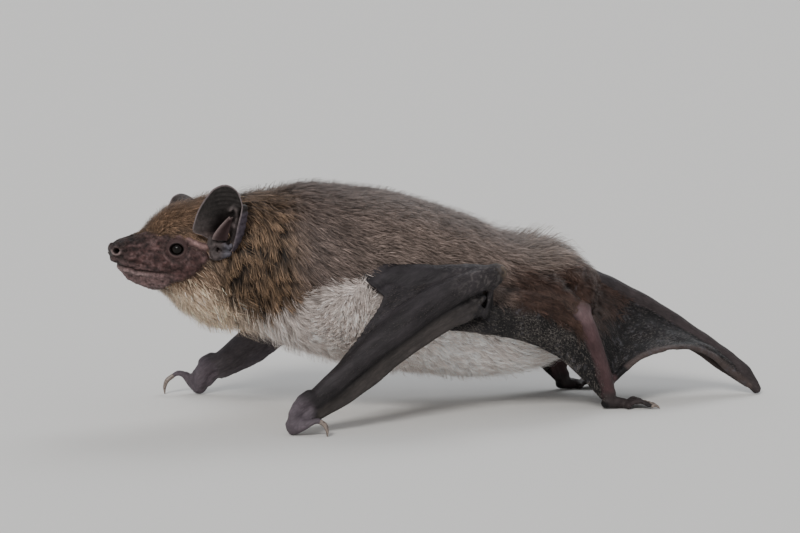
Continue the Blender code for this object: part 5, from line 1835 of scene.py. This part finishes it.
    def trunk(self, bench: Bench) -> None:
        """Grows the patches on head and trunk."""
        bed, columns = self.form.bed, self.form.columns
        x = np.broadcast_to(self.form.xs[:, None], bed.depth.shape)
        upper = np.sin(TURN * np.arange(columns) / columns)[None] * np.ones_like(x)
        for patch in Patch:
            name, low, high, half, count, growth = patch.value
            rng = np.random.default_rng(self.seed + count)
            weight = (x >= low) & (x < high) & (upper * half >= 0)
            tufts = self.clear(self.grow(bed, weight * fade(0.02, 0.3, bed.depth), count, growth, rng))
            rows = np.interp((low, high), self.form.xs, np.arange(len(self.form.xs)))
            span = {1: (0, columns / 2), -1: (columns / 2, columns), 0: (0, columns)}[half]
            self.unwrap(tufts, (span[0], rows[0]), (span[1], rows[1]))
            slot = "mane_fur" if patch in (Patch.HEAD, Patch.NECK) else "back_fur"
            tufts.build(bench, name, slot)

    def thighs(self, bench: Bench) -> None:
        """Grows the fur over the thighs and the roots of the wings."""
        rng, parts = np.random.default_rng(self.seed + 1), []
        growth = Growth(3, (1.3, 1.0, 1.2), length=((0, 1.6), (30, 1.6)), width=((0, 0.07), (30, 0.07)))
        runs = [(leg, leg.thigh_line(), (3.3, 3.15, 3.0, 2.1, 1.35), 9000) for leg in self.legs]
        runs += [(leg, leg.haunch_line(), (1.5, 1.9, 2.2, 2.4, 2.4), 3000) for leg in self.legs]
        for k, (leg, path, radii, count) in enumerate(runs):
            bed = self.on_limb(through(path, 0.98 * steps(40)), radii, (1.0, 0.95, 0.12), 48)
            flow = unit(leg.at((0.75, 0.45, -0.75)))
            tufts = self.grow(bed, np.ones_like(bed.depth), count, growth, rng, flow)
            tufts = tufts.only(self.form.fill(tufts.line[:, -1]) > 0.9)
            parts.append(self.unwrap(tufts, (0, 0), (48, 40), k, 8))
        jobs = []
        for wing, side in zip(self.wings, Side):
            web, hide = wing.rear_grid(), self.tail.grid(side)
            along, across = spans(web)
            near = fade(0.55, 0.05, across + 0.25 * (1 - along)) * fade(9.0, 12.0, web[..., 2])
            jobs.append((web, side, 6500, near))
            along, across = spans(hide)
            near = fade(0.24, 0.0, along + 0.1 * across) * fade(8.5, 13.5, hide[..., 2])
            jobs.append((hide, side, 2500, near))
        for k, (grid, side, count, near) in enumerate(jobs):
            bed = self.on_sheet(grid, side, 0.62, 0.5)
            tufts = self.grow(bed, near, count, growth, rng, np.array((0.8, 0, -0.6)))
            parts.append(self.unwrap(tufts, (0, 0), grid.shape[1::-1], 4 + k, 8))
        Tufts.joined(parts).build(bench, "coat_thighs", "back_fur")

    def down(self, bench: Bench) -> None:
        """Grows the sparse short hair on wings, tail skin and bare face."""
        rng, parts = np.random.default_rng(self.seed + 2), []
        none = ((0, 0.0), (1, 0.0))
        length, width = ((-36, 0.32), (-24, 0.36), (0, 0.6), (44, 0.7)), ((-36, 0.022), (0, 0.028), (44, 0.03))
        growth = Growth(length=length, width=width, pull=none, gap=none)
        tail_way = np.array((0.75, 0.0, -0.6))
        jobs = [(self.tail.grid(side), side, 4500, tail_way, (0.07, 0.06, 0.057)) for side in Side]
        for wing in self.wings:
            jobs.append((wing.rear_grid(), wing.side, 6500, np.array((0.7, 0.0, -0.7)), (0.095, 0.083, 0.075)))
            jobs.append((wing.front_grid(), wing.side, 2500, wing.bundle()[0], (0.05, 0.042, 0.04)))
        tiles = len(jobs) + 13
        for k, (grid, side, count, flow, colour) in enumerate(jobs):
            weight = fade(0.02, 0.1, spans(grid)[1]) * (0.35 + 0.65 * fade(-0.2, 0.5, noise(grid, 1.6, 71)))
            tufts = self.grow(self.on_sheet(grid, side, 0.3, 0.13), weight, count, growth, rng, flow)
            self.dye(tufts, np.array(colour) * 2.3, rng.uniform(0.15, 1.0, count) ** 2, (0.6, 1.0, 1.2))
            parts.append(self.unwrap(tufts, (0, 0), grid.shape[1::-1], k, tiles))
        bed = self.form.bed
        fuzz = Bed(bed.tips, bed.normal, np.full(bed.depth.shape, 0.05))
        weight = self.form.bare * fade(-35.2, -33.5, self.form.xs)[:, None]
        tufts = self.clear(self.grow(fuzz, weight, 7000, growth, rng))
        self.dye(tufts, (0.12, 0.085, 0.07), rng.uniform(0.08, 1.5, len(tufts.line)))
        far = (rng.uniform(0, 1, len(tufts.line)) < 0.02) & (tufts.line[:, 0, 0] < -30.0)
        spread = tufts.line[far] - tufts.line[far, :1]
        tufts.line[far] += 3.5 * spread + 0.5 * np.linalg.norm(spread, axis=2)[..., None] * tufts.normal[far] * 3
        parts.append(self.unwrap(tufts, (0, 0), bed.depth.shape[::-1], len(jobs), tiles))
        limbs = [(wing.forearm_line(), (1.42, 1.74, 1.86, 1.56, 1.2), 3500, 0.05) for wing in self.wings]
        limbs += [(line, (0.4, 0.32, 0.38, 0.3, 0.2), 130, 0.3) for leg in self.legs for line in leg.toe_lines()]
        for k, (path, radii, count, deep) in enumerate(limbs):
            line = through(path, steps(30))
            bed = self.on_limb(line, radii, (deep, deep), 24)
            tufts = self.grow(bed, np.ones_like(bed.depth), count, growth, rng, unit(line[-1] - line[0]))
            tufts = tufts.only(tufts.line[:, :, 2].min(axis=1) > 0.02)
            self.dye(tufts, (0.06, 0.05, 0.047), rng.uniform(0.3, 1.6, len(tufts.line)))
            parts.append(self.unwrap(tufts, (0, 0), (24, 30), len(jobs) + 1 + k, tiles))
        Tufts.joined(parts).build(bench, "coat_down", "wing_skin")

    def build(self, bench: Bench) -> None:
        """Grows every patch."""
        self.trunk(bench)
        self.thighs(bench)
        self.down(bench)


# Eyes and claws


@dataclass
class Details:
    """Eyes and claws, each its own piece."""

    face: Face
    eye_radius: float = 0.92

    def eye(self, bench: Bench, side: Side) -> None:
        """Makes one eyeball with a slightly swollen front."""
        rows, columns = 40, 48
        polar, turn = np.meshgrid(np.pi * steps(rows), TURN * np.arange(columns) / columns, indexing="ij")
        axis = self.face.gaze
        a = unit(np.cross(axis, (0.0, 0.0, 1.0)))
        b = np.cross(axis, a)
        round_way = np.cos(turn)[..., None] * a + np.sin(turn)[..., None] * b
        ball = np.cos(polar)[..., None] * axis + np.sin(polar)[..., None] * round_way
        swell = 1 + 0.04 * fade(0.8, 0.0, polar)
        points = (self.face.ball + self.eye_radius * swell[..., None] * ball) * (1, side.value, 1)
        shape = Shape(points.reshape(-1, 3), grid_faces(rows + 1, columns, closed=True))
        name = side.name.lower()
        bench.piece(f"eyeball_{name}", shape, Eyeball.name, "eye_gloss", [f"eye_{name}"])

    def claws(self, bench: Bench, wing: Wing, leg: HindLimb) -> None:
        """Makes a thumb's claw and the claws of one foot."""
        name = wing.side.name.lower()
        hook = tube(wing.thumb_lines()[1], (0.3, 0.3, 0.22, 0.08), 24, 16)
        bench.piece(f"thumb_hook_{name}", hook, Horn.name, "claw_horn", [f"thumb_claw_{name}"])
        toes = Shape.joined([tube(line, (0.18, 0.17, 0.12, 0.04), 14, 10) for line in leg.claw_lines()])
        toes.points[:, 2] = np.maximum(toes.points[:, 2], 0.01)
        bench.piece(f"toe_claws_{name}", toes, Horn.name, "claw_horn")


# Studio


@dataclass
class Studio:
    """Floor, lights and camera."""

    lens: float = 120.0
    azimuth: float = -16.0
    elevation: float = 6.0
    distance: float = 0.321
    look_at: Point = (0.0, 0.0, 17.1)
    floor_half: float = 60.0

    def build(self, bench: Bench) -> None:
        """Sets up everything round the bat."""
        s = self.floor_half
        mesh = bpy.data.meshes.new("floor")
        mesh.from_pydata([(-s, -s, 0), (s, -s, 0), (s, s, 0), (-s, s, 0)], [], [(0, 1, 2, 3)])
        mesh.materials.append(bench.finishes[PaleFloor.name])
        floor = bpy.data.objects.new("floor", mesh)
        bpy.context.scene.collection.objects.link(floor)
        self.sky()
        self.sun("key", (-0.66, -1.0, 0.78), 2.4, 16.0, (1.0, 0.98, 0.95))
        self.sun("back", (0.75, 0.95, 1.1), 1.0, 30.0, (0.94, 0.97, 1.0))
        self.camera(Vector(bench.place(np.array(self.look_at))))

    def sky(self) -> None:
        """Surrounds the scene with soft light, palest at the horizon."""
        world = bpy.data.worlds.new("studio")
        bpy.context.scene.world = world
        world.use_nodes = True
        nodes, links = world.node_tree.nodes, world.node_tree.links
        place, split, ramp = (nodes.new(f"ShaderNode{k}") for k in ("TexCoord", "SeparateXYZ", "ValToRGB"))
        links.new(place.outputs["Generated"], split.inputs[0])
        links.new(split.outputs["Z"], ramp.inputs["Fac"])
        low, high = ramp.color_ramp.elements
        low.position, high.position = 0.0, 0.5
        low.color, high.color = (0.78, 0.78, 0.77, 1), (0.46, 0.47, 0.49, 1)
        links.new(ramp.outputs["Color"], nodes["Background"].inputs["Color"])
        nodes["Background"].inputs["Strength"].default_value = 1.0

    def sun(self, name: str, towards: Point, power: float, softness: float, colour: Colour) -> None:
        """Adds one soft light that shines from a direction."""
        light = bpy.data.lights.new(name, "SUN")
        light.energy, light.angle, light.color = power, math.radians(softness), colour
        lamp = bpy.data.objects.new(name, light)
        lamp.rotation_euler = Vector(towards).to_track_quat("Z", "Y").to_euler()
        bpy.context.scene.collection.objects.link(lamp)

    def camera(self, target: Vector) -> None:
        """Adds the camera and looks through it."""
        a, e = math.radians(self.azimuth), math.radians(self.elevation)
        back = Vector((math.sin(a) * math.cos(e), -math.cos(a) * math.cos(e), math.sin(e)))
        camera = bpy.data.cameras.new("camera")
        camera.lens, camera.clip_start = self.lens, 0.01
        holder = bpy.data.objects.new("camera", camera)
        holder.location = target + back * self.distance
        holder.rotation_euler = back.to_track_quat("Z", "Y").to_euler()
        bpy.context.scene.collection.objects.link(holder)
        bpy.context.scene.camera = holder


def main() -> None:
    """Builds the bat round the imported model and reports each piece."""
    logging.basicConfig(level=logging.INFO, format="%(message)s")
    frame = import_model()
    bench = Bench(list(frame["nodes"]))
    form = BodyForm()
    face, marks, tail = Face(form), Markings(), Tail()
    wings, legs, ears = ([kind(side) for side in Side] for kind in (Wing, HindLimb, Ear))
    Skin(form, face, marks, wings, legs, tail, ears).build(bench)
    details = Details(face)
    for side, wing, leg in zip(Side, wings, legs):
        details.eye(bench, side)
        details.claws(bench, wing, leg)
    Coat(form, face, marks, wings, legs, tail, ears).build(bench)
    Studio().build(bench)


if __name__ == "__main__":
    main()
